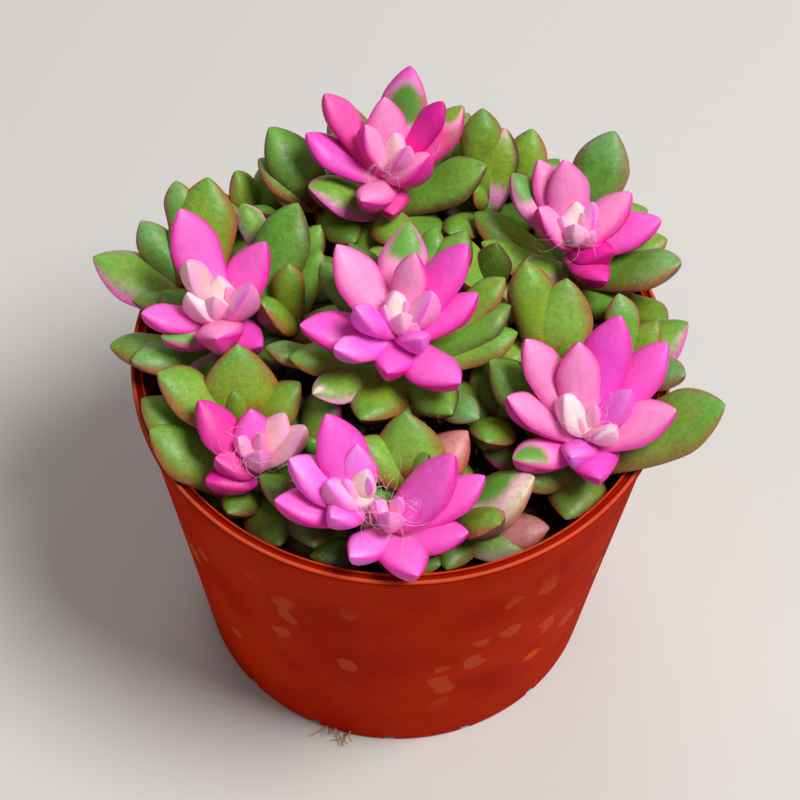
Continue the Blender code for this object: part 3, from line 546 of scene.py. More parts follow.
def tube(points, radii, sides):
    """A closed tube of rings along a nearly upright line, as a bmesh."""
    bm = bmesh.new()
    rings = []
    for centre, radius in zip(points, radii):
        turns = [2 * pi * index / sides for index in range(sides)]
        rings.append([bm.verts.new(centre + polar(radius, turn)) for turn in turns])
    close_loft(bm, rings, None)
    return bm


def widest_share(width, reach, kind):
    """How far along its reach a leaf is widest."""
    return max(LEAST_WIDEST, 1 - kind[1] * width / reach)


def leaf_shape(share, widest, fullness):
    """Width and thickness of a leaf, each over its largest value, at a share of its reach."""
    if share <= widest:
        swell = sin(pi / 2 * share / widest)
        return ROOT_WIDTH + (1 - ROOT_WIDTH) * swell, ROOT_DEPTH + (1 - ROOT_DEPTH) * swell
    past = (share - widest) / (1 - widest)
    return 1 - past ** fullness, 1 - past ** 2


def leaf_line(root, bearing, elevation, reach):
    """Root, bowed middle and tip of a leaf's centre line, and its sideways direction."""
    side = Vector((-sin(bearing), cos(bearing), 0.0))
    along = Vector((cos(bearing) * cos(elevation), sin(bearing) * cos(elevation), sin(elevation)))
    under = side.cross(along)
    middle = root + along * reach / 2 + under * SAG * reach
    return root, middle, root + along * reach, side


def along_line(start, middle, end, share):
    """The point at a share of a leaf's centre line, and the direction there, not of length 1."""
    centre = start * (1 - share) ** 2 + middle * 2 * share * (1 - share) + end * share ** 2
    return centre, (middle - start) * (1 - share) + (end - middle) * share


def leaf_solid(root, row, kind, grow=0.0):
    """The faceted leaf of the solids as a bmesh, made larger all round by grow."""
    bearing, elevation, reach, width = row
    *line, side = leaf_line(root, radians(bearing), radians(elevation), reach * MM)
    widest = widest_share(width, reach, kind)
    shares = (ROOT_START / (reach * MM), RING_STEP * widest, widest + (1 - widest) * TIP_RING)
    bm = bmesh.new()
    rings = []
    for share in shares:
        centre, tangent = along_line(*line, share)
        normal = tangent.normalized().cross(side)
        across, thick = leaf_shape(share, widest, kind[2])
        half = across * width * MM / 2 + grow
        depth = thick * min(kind[0] * width * MM, MOST_THICK)
        upper = depth * kind[3] + grow
        lower = depth * (1 - kind[3]) + grow
        outline = ((half, 0.0), (half / 2, upper), (-half / 2, upper), (-half, 0.0), (0.0, -lower))
        rings.append([bm.verts.new(centre + side * x + normal * y) for x, y in outline])
    _, middle, end = line
    tip = bm.verts.new(end + (end - middle).normalized() * grow)
    close_loft(bm, rings, tip)
    return bm


class Garden:
    """The solids placed so far, used to keep the leaves of different pieces apart."""

    def __init__(self):
        self.placed = []

    def measured(self, bm):
        """The solid's middle, the radius of a ball round it, and its faces for the search."""
        points = [vertex.co for vertex in bm.verts]
        centre = sum(points, Vector()) / len(points)
        return centre, max((point - centre).length for point in points), BVHTree.FromBMesh(bm)

    def add(self, owner, bm):
        self.placed.append((owner, *self.measured(bm)))
        bm.free()

    def is_clear(self, owner, bm):
        centre, radius, tree = self.measured(bm)
        for other, other_centre, other_radius, other_tree in self.placed:
            near = (other_centre - centre).length <= radius + other_radius
            if other != owner and near and tree.overlap(other_tree):
                return False
        return True


def ways_to_bend():
    """Changes of elevation, bearing and length to try, from none to the largest."""
    ways = []
    tilt_step, turn_step, scale_step = SEARCH_STEPS
    for tilt in TILTS:
        for turn in TURNS:
            for scale in SCALES:
                effort = abs(tilt) / tilt_step + abs(turn) / turn_step + (1 - scale) / scale_step
                ways.append((effort, tilt, turn, scale))
    return sorted(ways, key=lambda way: way[0])


def place_leaf(garden, owner, root_at, row, kind, ways, most_effort):
    """Find the nearest clear place for a leaf. Returns its row, or None when there is no room."""
    bearing, elevation, reach, width = row[:4]
    for effort, tilt, turn, scale in ways:
        if effort > most_effort:
            return None
        tried = (bearing + turn, elevation + tilt, reach * scale, width * (1 + scale) / 2)
        grown = leaf_solid(root_at(tried[1]), tried, kind, GAP)
        clear = garden.is_clear(owner, grown)
        grown.free()
        if clear:
            garden.add(owner, leaf_solid(root_at(tried[1]), tried, kind))
            return tried
    return None


def roots_below(top, drop):
    """Where a leaf leaves its stem: near the stem's top, and lower for lower leaves."""
    highest, step = drop
    return lambda elevation: top - Vector((0.0, 0.0, LEAST_DROP + max(0.0, highest - elevation) * step))


def angle_between(first, second):
    """Degrees between two bearings."""
    return abs((first - second + 180) % 360 - 180)


def clear_bearings(rows, turn, taken):
    """Filling leaves by the golden angle, without those that would lie on the plant's own leaves."""
    found = []
    for index, (elevation, reach, width) in enumerate(rows):
        bearing = turn + index * GOLDEN_ANGLE
        near = [other for other in taken + found if angle_between(other[0], bearing) < FILL_SPREAD]
        if all(abs(other[1] - elevation) >= FILL_SPREAD for other in near):
            found.append((bearing, elevation, reach, width))
    return found


def widest_first():
    """The green leaves that show, with their owners, the widest first so that these find room."""
    rows = [("shoot_" + name, row) for name, (_, shown) in SHOOTS.items() for row in shown]
    rows += [("greens_" + name, row) for name, shown in GREENS.items() for row in shown]
    return sorted(rows, key=lambda owned: -owned[1][3])


def upright_stem(x, y, top, radius):
    """A stem that stands in the soil: its foot and top, with the radius at each."""
    foot = Vector((x, y, soil_height(x, y) - STEM_DEPTH))
    return [([foot, Vector((x, y, top))], [radius] * 2)]


def plan_stems():
    """Each leafy node's stems as (points, radii), and where the leaves of the green ones leave them."""
    stems = {}
    roots = {}
    for name, (foot, heads) in ROSETTES.items():
        x, y = (value * MM for value in foot)
        junction = min(head[0][2] for head in heads) * MM - NECK
        cores = []
        for index, (centre, _) in enumerate(heads):
            start = Vector((x, y, junction + GAP / 2 + index * FORK_STEP))
            end = Vector(centre) * MM - Vector((0.0, 0.0, CORE_TOP))
            cores.append(([start, end], [STEM_RADIUS - index * FORK_STEP, STEM_RADIUS]))
        stems["rosette_" + name] = cores
        stems["greens_" + name] = upright_stem(x, y, junction - GAP / 2, STEM_RADIUS)
        roots["greens_" + name] = roots_below(Vector((x, y, junction)), STEM_DROP)
    for name, (top, _) in SHOOTS.items():
        x, y, height = (value * MM for value in top)
        stems["shoot_" + name] = upright_stem(x, y, height - CORE_TOP, SHOOT_RADIUS)
        roots["shoot_" + name] = roots_below(Vector(top) * MM, HEAD_DROP)
    return stems, roots


def plan_leaves(stems, roots):
    """Each leafy node's placed leaves, as (root, row, kind, look), by the same search as in the solids."""
    garden = Garden()
    for node in ("pot", "soil"):
        bm = bmesh.new()
        bm.from_mesh(frame["nodes"][node].data)
        garden.add(node, bm)
    for owner, lines in stems.items():
        for points, radii in lines:
            garden.add(owner, tube(points, radii, STEM_SIDES))
    ways = ways_to_bend()
    leaves = {owner: [] for owner in stems}

    def place(owner, root_at, row, kind, look, most_effort):
        placed = place_leaf(garden, owner, root_at, row, kind, ways, most_effort)
        if placed is not None:
            leaves[owner].append((root_at(placed[1]), placed, kind, look))

    for name, (_, heads) in ROSETTES.items():
        for centre, rows in heads:
            root_at = roots_below(Vector(centre) * MM, HEAD_DROP)
            for row in rows:
                place("rosette_" + name, root_at, row, PINK, row[4], PINK_EFFORT)
    for owner, row in widest_first():
        place(owner, roots[owner], row, GREEN, row[4], GREEN_EFFORT)
    draw = Random(FILL_SEED)
    for turn, owner in enumerate(roots):
        rows = STEM_FILL
        if owner.startswith("shoot_"):
            rows = BUDDED_FILL if leaves[owner] else SHOOT_FILL
        for row in clear_bearings(rows, turn * FILL_TURN, [leaf[1] for leaf in leaves[owner]]):
            place(owner, roots[owner], row, GREEN, draw.choice(FILL_LOOKS), FILL_EFFORT)
    return leaves


class Shader:
    """A few short ways to build a material's nodes, and the colour laid on so far."""

    def __init__(self, name, colour=None):
        self.material = bpy.data.materials.new(name)
        self.material.use_nodes = True
        self.tree = self.material.node_tree
        self.place = self.node("ShaderNodeTexCoord")["Object"]
        self.colour = colour

    def node(self, kind, inputs=(), **settings):
        """The outputs of a new node, whose inputs are fed by name or number."""
        node = self.tree.nodes.new(kind)
        for key, value in settings.items():
            setattr(node, key, value)
        for key, value in dict(inputs).items():
            self.feed(value, node.inputs[key])
        return node.outputs

    def feed(self, value, socket):
        if isinstance(value, bpy.types.NodeSocket):
            self.tree.links.new(value, socket)
        else:
            socket.default_value = value

    def attribute(self, name, output="Fac"):
        return self.node("ShaderNodeAttribute", attribute_name=name)[output]

    def painted(self, name):
        """A colour that a leaf carries at each point."""
        return self.attribute("leaf_" + name, "Color")

    def math(self, operation, *values):
        return self.node("ShaderNodeMath", enumerate(values), operation=operation)[0]

    def times(self, first, second):
        return self.math("MULTIPLY", first, second)

    def scaled(self, value, factor, offset):
        """The value times the factor, with the offset added."""
        return self.math("MULTIPLY_ADD", value, factor, offset)

    def part(self, vector, axis):
        """One number of a vector."""
        return self.node("ShaderNodeSeparateXYZ", {0: vector})[axis]

    def ramp(self, value, low, high, most=1.0):
        """0 below low and the most above high, smooth between. Low may be the higher number."""
        first, last = (most, 0.0) if low > high else (0.0, most)
        low, high = sorted((low, high))
        inputs = {"Value": value, "From Min": low, "From Max": high, "To Min": first, "To Max": last}
        return self.node("ShaderNodeMapRange", inputs, interpolation_type="SMOOTHSTEP")[0]

    def noise(self, size, detail=2.0, place=None, roughness=0.5):
        """Soft noise whose lumps are about this many metres across."""
        inputs = {"Vector": place or self.place, "Scale": 1 / size, "Detail": detail, "Roughness": roughness}
        return self.node("ShaderNodeTexNoise", inputs)["Fac"]

    def cells(self, size, feature="F1"):
        """Distance to the nearest of many scattered points."""
        inputs = {"Vector": self.place, "Scale": 1 / size}
        return self.node("ShaderNodeTexVoronoi", inputs, feature=feature)["Distance"]

    def stretched(self, place, scale):
        return self.node("ShaderNodeMapping", {"Vector": place, "Scale": scale})[0]

    def flakes(self, size, share):
        """Scattered flat blotches with ragged edges: 1 inside them, on this share of the cells."""
        cloud = self.node("ShaderNodeTexNoise", {"Vector": self.place, "Scale": 1.4 / size})["Color"]
        inputs = (cloud, (size / 2, size / 2, size / 2), self.stretched(self.place, FLAKE_STRETCH))
        ragged = self.node("ShaderNodeVectorMath", enumerate(inputs), operation="MULTIPLY_ADD")[0]
        cell = self.node("ShaderNodeTexVoronoi", {"Vector": ragged, "Scale": 1 / size})
        chosen = self.ramp(self.part(cell["Color"], "X"), 1 - share, 1.01 - share)
        return self.times(self.ramp(cell["Distance"], 0.42, 0.36), chosen)

    def lay(self, share, colour, blend="MIX"):
        """Lay a share of a colour over what is there. A colour may be three plain numbers."""
        below, above = ((*side, 1.0) if isinstance(side, tuple) else side for side in (self.colour, colour))
        inputs = {"Factor": share, "A": below, "B": above}
        self.colour = self.node("ShaderNodeMix", inputs, data_type="RGBA", blend_type=blend)["Result"]

    def bump(self, height, distance, strength, normal=None):
        inputs = {"Height": height, "Distance": distance, "Strength": strength}
        if normal is not None:
            inputs["Normal"] = normal
        return self.node("ShaderNodeBump", inputs)["Normal"]

    def finish(self, **sockets):
        """The material, with the colour laid on so far and these values on its surface."""
        surface = self.tree.nodes["Principled BSDF"]
        self.feed(self.colour, surface.inputs["Base Color"])
        for name, value in sockets.items():
            self.feed(value, surface.inputs[name.replace("_", " ")])
        return self.material


def leaf_material(name, speckle_and_glint, gloss, glow, shade, mottle, drift):
    """A fleshy leaf: its own colours from root to tip, a margin, an underside, a patch, painted shade deep
    among the others, and pale speckles that are partly painted glints.
    """
    shader = Shader(name)
    other, most = drift
    pick = shader.attribute("leaf_pick")
    place = shader.attribute("leaf_place", "Vector")
    wander = shader.scaled(shader.noise(2.6 * MM, 3.0), 0.30, -0.15)
    along = shader.math("ADD", shader.part(place, "X"), wander)
    across = shader.math("ABSOLUTE", shader.part(place, "Y"))
    up = shader.part(place, "Z")
    shader.colour = shader.painted("root")
    shader.lay(shader.ramp(along, *BODY_STARTS), shader.painted("body"))
    outward = shader.scaled(shader.times(across, across), 0.32, along)
    shader.lay(shader.ramp(outward, *TIP_STARTS), shader.painted("tip"))

    # The patch, with a pale border that fades into the leaf
    distance = shader.math("ADD", shader.attribute("leaf_patch_distance"), wander)
    shader.lay(shader.times(pick, most), other)
    shader.lay(shader.ramp(distance, *PATCH_BORDER), BLOSSOM)
    shader.lay(shader.ramp(distance, *PATCH_STARTS), shader.painted("patch"))

    # Margin and underside
    shader.lay(shader.ramp(across, *BLUSHED), shader.painted("margin"))
    stain = shader.ramp(shader.noise(4 * MM), *STAINED, mottle)
    shader.lay(stain, shader.painted("root"))
    edge = shader.math("ADD", across, shader.times(wander, 0.35))
    margin = shader.times(shader.ramp(edge, *MARGIN_STARTS), shader.scaled(pick, 0.50, 0.36))
    shader.lay(margin, shader.painted("margin"))
    shader.lay(shader.ramp(shader.math("ADD", up, wander), *UNDER_STARTS), shader.painted("under"))

    # Uneven tone, leaf by leaf, in soft clouds and in fine streaks, painted shade lower down among the
    # others, and pale dots that are partly painted glints
    streaks = shader.noise(1.0, 4.0, shader.stretched(place, STREAK_STRETCH))
    tone = shader.scaled(shader.noise(1.4 * MM, 4.0), 0.30, 0.76)
    tone = shader.scaled(streaks, 0.18, tone)
    blots = shader.ramp(shader.noise(0.9 * MM, 6.0, roughness=0.65), 0.44, 0.66)
    tone = shader.times(tone, shader.scaled(blots, -0.8 * mottle, 1 + 0.3 * mottle))
    tone = shader.times(tone, shader.scaled(pick, 0.16, 0.92))
    grey = shader.node("ShaderNodeCombineColor", {"Red": tone, "Green": tone, "Blue": tone})["Color"]
    shader.lay(1.0, grey, "MULTIPLY")
    # painted shade: a dark red laid on the leaves lower down among the others
    shader.lay(shader.ramp(shader.part(shader.place, "Z"), *SHADED, 1 - shade), PAINTED_SHADE_RED)
    # pale dots: partly the leaves' own pale speckles, partly painted glints
    dots = shader.ramp(shader.cells(0.34 * MM), 0.34, 0.14, speckle_and_glint)
    dots = shader.times(dots, shader.ramp(shader.noise(1.1 * MM, 3.0), 0.50, 0.72))
    shader.lay(dots, IVORY)

    rough = shader.scaled(shader.noise(0.9 * MM, 3.0), 0.22, gloss)
    skin = shader.bump(shader.cells(0.30 * MM, "SMOOTH_F1"), 0.03 * MM, 0.45)
    skin = shader.bump(shader.noise(1.2 * MM, 3.0), 0.18 * MM, 0.55, skin)
    return shader.finish(
        Roughness=rough, Normal=skin, Specular_IOR_Level=0.42,
        Subsurface_Weight=glow, Subsurface_Scale=1.2 * MM, Subsurface_Radius=(1.0, 0.5, 0.4))


def pot_material():
    """Thin red-brown nursery plastic with faint mould lines, pale flaked blotches, a painted highlight on the
    wall, painted highlights on the rim's lips and painted shade in its sunken ledge.
    """
    shader = Shader("pot plastic", POT_RED)
    height = shader.part(shader.place, "Z")
    shader.lay(shader.ramp(shader.noise(16 * MM, 3.0), 0.3, 0.7), POT_ORANGE)

    # Flakes on the middle of the wall, and a painted highlight: a brighter spot on the wall
    flakes = shader.flakes(FLAKE_SIZE, FLAKE_SHARE)
    flakes = shader.times(flakes, shader.ramp(height, *FLAKES_TO))
    flakes = shader.times(flakes, shader.ramp(height, *FLAKES_FROM))
    shader.lay(flakes, FLAKE)
    apart = shader.node("ShaderNodeVectorMath", {0: shader.place, 1: HIGHLIGHT_SPOT}, operation="DISTANCE")
    highlight_edge = shader.scaled(shader.noise(1.6 * MM), 2 * MM, apart["Value"])
    shader.lay(shader.ramp(highlight_edge, HIGHLIGHT_RADIUS, HIGHLIGHT_RADIUS - MM, 0.8), PAINTED_HIGHLIGHT)

    # Painted highlights on the lips, painted shade in the sunken ledge between them, and grime
    shader.lay(shader.ramp(height, POT_HEIGHT - 0.35 * MM, POT_HEIGHT - 0.1 * MM, 0.55), LIP_HIGHLIGHT)
    band = shader.ramp(height, POT_HEIGHT - 0.9 * MM, POT_HEIGHT - 0.6 * MM, 0.75)
    ledge_shade_mask = shader.times(band, shader.ramp(height, POT_HEIGHT - 0.35 * MM, POT_HEIGHT - 0.6 * MM))
    shader.lay(ledge_shade_mask, LEDGE_SHADE)
    shader.lay(shader.ramp(shader.noise(0.5 * MM), 0.62, 0.75, 0.30), GRIME)
    rough = shader.scaled(shader.noise(5 * MM, 4.0), 0.26, 0.24)
    lines = shader.math("SINE", shader.times(height, 2 * pi / MOULD_LINE))
    skin = shader.bump(lines, 0.01 * MM, 0.25)
    skin = shader.bump(shader.noise(4 * MM, 4.0), 0.10 * MM, 0.35, skin)
    return shader.finish(
        Roughness=rough, Normal=skin, Specular_IOR_Level=0.0, Coat_Weight=0.05,
        Coat_Roughness=0.22, Subsurface_Weight=0.05, Subsurface_Scale=0.8 * MM)


def soil_material():
    """Nearly black potting soil, crumbly, with brown fibres and pale specks."""
    shader = Shader("soil", SOIL_BLACK)
    crumbs = shader.noise(0.8 * MM, 6.0, roughness=0.7)
    shader.lay(shader.ramp(crumbs, 0.35, 0.7), SOIL_BROWN)
    shader.lay(shader.ramp(shader.cells(0.9 * MM), 0.16, 0.08, 0.7), SPECK)
    skin = shader.bump(crumbs, 0.35 * MM, 0.9)
    return shader.finish(Roughness=0.95, Normal=skin, Specular_IOR_Level=0.2)


def stone_material():
    """Pale grey grit with darker veins."""
    shader = Shader("grit", GRIT_GREY)
    cloud = shader.noise(0.6 * MM, 4.0)
    shader.lay(shader.ramp(cloud, 0.35, 0.7), GRIT_PALE)
    skin = shader.bump(cloud, 0.08 * MM, 0.6)
    return shader.finish(Roughness=0.8, Normal=skin)


def hair_material():
    """Fine dry white hairs."""
    shader = Shader("leaf hairs", HAIR_WHITE)
    shader.lay(shader.noise(1.5 * MM), HAIR_TAN)
    return shader.finish(Roughness=0.55, Specular_IOR_Level=0.3)


def fibre_material():
    """Dry tan roots."""
    shader = Shader("dry fibre", FIBRE_TAN)
    cloud = shader.noise(0.7 * MM, 4.0)
    shader.lay(cloud, FIBRE_PALE)
    skin = shader.bump(cloud, 0.05 * MM, 0.6)
    return shader.finish(Roughness=0.85, Normal=skin)


def floor_material():
    """A plain pale studio floor."""
    shader = Shader("studio floor", FLOOR_GREY)
    shader.lay(shader.noise(0.2), FLOOR_PALE)
    return shader.finish(Roughness=0.85, Specular_IOR_Level=0.2)


class Patchwork:
    """Collects many closed shells, with their values at each point, into one mesh."""

    def __init__(self):
        self.points = []
        self.faces = []
        self.values = {"leaf_place": [], "leaf_patch_distance": [], "leaf_pick": []}
        self.colours = {name: [] for name in COLOUR_NAMES}
        self.count = 0

    def add(self, points, faces, place, patch_distance, pick, look):
        self.points.append(points)
        self.faces += [tuple(corner + self.count for corner in face) for face in faces]
        self.values["leaf_place"].append(place)
        self.values["leaf_patch_distance"].append(patch_distance)
        self.values["leaf_pick"].append(np.full(len(points), pick))
        for name, colour in zip(COLOUR_NAMES, (*look[:5], look[5][0])):
            self.colours[name].append(np.tile((*colour, 1.0), (len(points), 1)))
        self.count += len(points)

    def make(self, name, material):
        mesh = bpy.data.meshes.new(name)
        mesh.from_pydata(np.concatenate(self.points).tolist(), [], self.faces)
        place = mesh.attributes.new("leaf_place", "FLOAT_VECTOR", "POINT")
        place.data.foreach_set("vector", np.concatenate(self.values["leaf_place"]).ravel())
        for value in ("leaf_patch_distance", "leaf_pick"):
            layer = mesh.attributes.new(value, "FLOAT", "POINT")
            layer.data.foreach_set("value", np.concatenate(self.values[value]))
        for colour, rows in self.colours.items():
            layer = mesh.attributes.new(colour, "FLOAT_COLOR", "POINT")
            layer.data.foreach_set("color", np.concatenate(rows).ravel())
        return smooth_piece(mesh, material)


def fine_leaf(patchwork, root, row, kind, look, draw):
    """One plump leaf: a bowed centre line, a crisp margin, a gently round top and a deep keeled underside."""
    bearing, elevation, reach, width = row
    found = leaf_line(root, radians(bearing), radians(elevation), reach * MM)
    *line, side = (np.array(point) for point in found)
    widest = widest_share(width, reach, kind)
    first = ROOT_START / (reach * MM)
    steps = np.linspace(0.0, 1.0, LEAF_RINGS + 1)[:-1]
    shares = first + (1 - first) * (1 - (1 - steps) ** TIP_PACKING)
    roll = radians(draw.uniform(-MOST_ROLL, MOST_ROLL))
    twist = radians(draw.uniform(-MOST_TWIST, MOST_TWIST))
    bow = draw.uniform(-MOST_BOW, MOST_BOW) * reach * MM
    wave = draw.uniform(0, 2 * pi)
    turns = 2 * pi * np.arange(LEAF_SIDES) / LEAF_SIDES
    across = np.cos(turns)
    top = np.sin(turns) >= 0
    upper_curve = (1 - np.abs(across) ** UPPER_ROUND[0]) ** UPPER_ROUND[1]
    lower_curve = (1 - np.abs(across) ** LOWER_ROUND[0]) ** LOWER_ROUND[1]
    points = []
    place = []
    for share in shares:
        centre, tangent = along_line(*line, share)
        normal = np.cross(tangent / np.linalg.norm(tangent), side)
        centre = centre + side * bow * 4 * share * (1 - share)
        turn = roll + twist * share
        flat = side * cos(turn) + normal * sin(turn)
        rise = normal * cos(turn) - side * sin(turn)
        wide, thick = leaf_shape(share, widest, kind[2])
        if share > widest:
            wide, thick = wide ** TIP_ROUND, thick ** TIP_ROUND
        half = wide * width * MM / 2
        ripple = 1 + MOST_WAVE * np.sin(WAVE_TURNS * share + wave + turns)
        depth = thick * min(kind[0] * width * MM, MOST_THICK)
        height = np.where(top, depth * kind[3] * upper_curve, -depth * (1 - kind[3]) * lower_curve)
        points.append(centre + np.outer(across * half * ripple, flat) + np.outer(height, rise))
        place.append(np.stack([np.full(LEAF_SIDES, share), across, np.sin(turns)], 1))
    points = np.concatenate(points + [line[-1][None, :]])
    place = np.concatenate(place + [np.array([[1.0, 0.0, 0.0]])])
    _, patch_along, patch_across, patch_size = look[5]
    down = (place[:, 0] - patch_along) * reach / width
    aside = (place[:, 1] - patch_across) / 2
    distance = np.hypot(down, aside) / patch_size if patch_size else np.full(len(points), NO_PATCH_NEAR)
    faces = lofted_faces(LEAF_RINGS, LEAF_SIDES, True)
    patchwork.add(points, faces, place, distance, draw.random(), look)


def fine_stem(patchwork, line, radii, look, draw):
    """A round stem, slightly uneven, from its solid's foot to its top."""
    start, end = (np.array(point) for point in line)
    turns = 2 * pi * np.arange(FINE_STEM_SIDES) / FINE_STEM_SIDES
    level = np.zeros(FINE_STEM_SIDES)
    points = []
    place = []
    for step in np.linspace(0.0, 1.0, FINE_STEM_RINGS):
        radius = (radii[0] + (radii[1] - radii[0]) * step) * (1 - STEM_ROUGH * draw.random())
        ring = np.stack([radius * np.cos(turns), radius * np.sin(turns), level], 1)
        points.append(start + (end - start) * step + ring)
        place.append(np.stack([level + step, level, level + 1], 1))
    points = np.concatenate(points)
    faces = lofted_faces(FINE_STEM_RINGS, FINE_STEM_SIDES, False)
    far = np.full(len(points), NO_PATCH_NEAR)
    patchwork.add(points, faces, np.concatenate(place), far, draw.random(), look)


def make_plants(stems, leaves, materials):
    """One fine piece for each leafy node."""
    for index, (owner, lines) in enumerate(stems.items()):
        draw = Random(LEAF_SEED + index)
        pink = owner.startswith("rosette_")
        patchwork = Patchwork()
        for line, radii in lines:
            fine_stem(patchwork, line, radii, CORE_LOOK if pink else STEM_LOOK, draw)
        for root, row, kind, look in leaves[owner]:
            fine_leaf(patchwork, root, row, kind, LOOKS[look], draw)
        if pink:
            for centre, rows in ROSETTES[owner.removeprefix("rosette_")][1]:
                count = 2 if len(rows) < SMALL_HEAD else len(BUDS)
                add_buds(patchwork, centre, count, BUD_LOOKS.get(owner, "bud"), draw)
        slot = "pink_leaf" if pink else "green_leaf"
        dress(patchwork.make(owner + "_leaves", materials[slot]), owner, slot=slot)


def add_buds(patchwork, centre, count, look, draw):
    """The small leaves in the middle of a rosette."""
    root_at = roots_below(Vector(centre) * MM, HEAD_DROP)
    for index, (elevation, reach, width) in enumerate(BUDS[:count]):
        row = (BUD_TURN + index * GOLDEN_ANGLE, elevation, reach, width)
        fine_leaf(patchwork, root_at(elevation), row, PINK, LOOKS[look], draw)


def half_round(centre_radius, centre_height, radius):
    """Points over a lip, from its inner side to its outer one."""
    turns = [pi - pi * step / LIP_STEPS for step in range(LIP_STEPS + 1)]
    return [(centre_radius + radius * cos(turn), centre_height + radius * sin(turn)) for turn in turns]


def pot_profile():
    """Inside floor, inside wall, rim, outer wall, foot ring and base."""
    inner_ring = RIM_RADIUS - LEDGE_WIDTH
    step_floor = FOOT_HEIGHT + FLOOR
    foot_inner = BASE_RADIUS - FOOT_WIDTH
    below_band = POT_HEIGHT - RIM_BAND - BAND_SLOPE
    inner_lip = half_round(inner_ring + INNER_LIP / 2, POT_HEIGHT - EASE - INNER_LIP / 2, INNER_LIP / 2)
    outer_lip = half_round(RIM_RADIUS - OUTER_LIP / 2, POT_HEIGHT - OUTER_LIP / 2, OUTER_LIP / 2)
    wall = []
    for step in range(WALL_STEPS + 1):
        height = below_band + (2 * EASE - below_band) * step / WALL_STEPS
        wall.append((outer_radius(height), height))
    return [
        (0.0, FLOOR),
        (PAD_RADIUS - FLOOR, FLOOR),
        (PAD_RADIUS, step_floor),
        (outer_radius(step_floor) - WALL, step_floor),
        (inner_ring - EASE, POT_HEIGHT - RIM_BAND),
        *inner_lip,
        (inner_ring + INNER_LIP + EASE, POT_HEIGHT - LEDGE_DROP),
        (RIM_RADIUS - OUTER_LIP - EASE, POT_HEIGHT - LEDGE_DROP),
        *outer_lip,
        (RIM_RADIUS, POT_HEIGHT - RIM_BAND),
        *wall,
        (BASE_RADIUS - 2 * EASE, 0.0),
        (foot_inner, 0.0),
        (foot_inner - EASE, FOOT_HEIGHT),
        (PAD_RADIUS + FLOOR, FOOT_HEIGHT),
        (PAD_RADIUS, 0.0),
        (0.0, 0.0),
    ]


def turned(name, profile, segments, material):
    """A solid of revolution from (radius, height) points that run down the outer side."""
    bm = bmesh.new()
    points = [bm.verts.new((radius, 0.0, height)) for radius, height in profile]
    for first, second in zip(points, points[1:]):
        bm.edges.new((first, second))
    obj = link(bpy.data.objects.new(name, finished_mesh(name, bm)))
    obj.data.materials.append(material)
    screw = obj.modifiers.new("turn", "SCREW")
    screw.axis = "Z"
    screw.angle = 2 * pi
    screw.steps = segments
    screw.render_steps = segments
    screw.use_merge_vertices = True
    screw.merge_threshold = MERGE
    return obj


def applied(obj):
    """The object with its modifiers worked into its mesh."""
    bpy.context.view_layer.update()
    mesh = bpy.data.meshes.new_from_object(obj.evaluated_get(bpy.context.evaluated_depsgraph_get()))
    obj.modifiers.clear()
    obj.data = mesh
    return obj


def make_pot(material):
    """The thin turned pot, with round drain holes, notches through its foot and a slightly uneven wall."""
    pot = turned("nursery_pot", pot_profile(), POT_SEGMENTS, material)
    cutters = bpy.data.collections.new("pot cutters")
    bpy.context.scene.collection.children.link(cutters)
    hole_circle = (PAD_RADIUS + BASE_RADIUS) / 2
    for index in range(DRAIN_HOLES):
        angle = 2 * pi * index / DRAIN_HOLES
        bm = bmesh.new()
        centre = polar(hole_circle, angle, FOOT_HEIGHT + FLOOR / 2)
        bmesh.ops.create_cone(
            bm, cap_ends=True, segments=DRAIN_SIDES, radius1=DRAIN_RADIUS, radius2=DRAIN_RADIUS,
            depth=2 * FLOOR, matrix=Matrix.Translation(centre))
        add_cutter(bm, cutters)
    for index in range(NOTCHES):
        angle = NOTCH_TURN + 2 * pi * index / NOTCHES
        bm = bmesh.new()
        size = Matrix.Diagonal((4 * FOOT_WIDTH, NOTCH_WIDTH, 2 * (FOOT_HEIGHT - NOTCH_ROOF), 1.0))
        place = Matrix.Rotation(angle, 4, "Z") @ Matrix.Translation((BASE_RADIUS, 0.0, 0.0))
        bmesh.ops.create_cube(bm, size=1.0, matrix=place @ size)
        add_cutter(bm, cutters)
    modifier = pot.modifiers.new("cut", "BOOLEAN")
    modifier.operation = "DIFFERENCE"
    modifier.operand_type = "COLLECTION"
    modifier.collection = cutters
    applied(pot)
    for cutter in list(cutters.objects):
        bpy.data.objects.remove(cutter)
    bpy.data.collections.remove(cutters)
    ripple_wall(pot.data)
    pot.data.shade_smooth()
    pot.data.set_sharp_from_angle(angle=SHARP)
    dress(pot, "pot", slot="pot_plastic")


def add_cutter(bm, collection):
    bmesh.ops.recalc_face_normals(bm, faces=bm.faces[:])
    collection.objects.link(bpy.data.objects.new("cutter", finished_mesh("cutter", bm)))


def ripple_wall(mesh):
    """Let the thin wall wander a little inwards between the foot and the rim, in slow waves round it."""
    for vertex in mesh.vertices:
        x, y, height = vertex.co
        bearing = np.arctan2(y, x)
        waves = sum(sin(turns * bearing + rise * height + start) for turns, rise, start in RIPPLES)
        wander = 0.5 - 0.25 * waves
        fade = sin(pi * min(1.0, max(0.0, height / POT_HEIGHT)))
        radius = hypot(x, y)
        if radius > PAD_RADIUS:
            inward = 1 - WALL_RIPPLE * wander * fade / radius
            vertex.co.x = x * inward
            vertex.co.y = y * inward


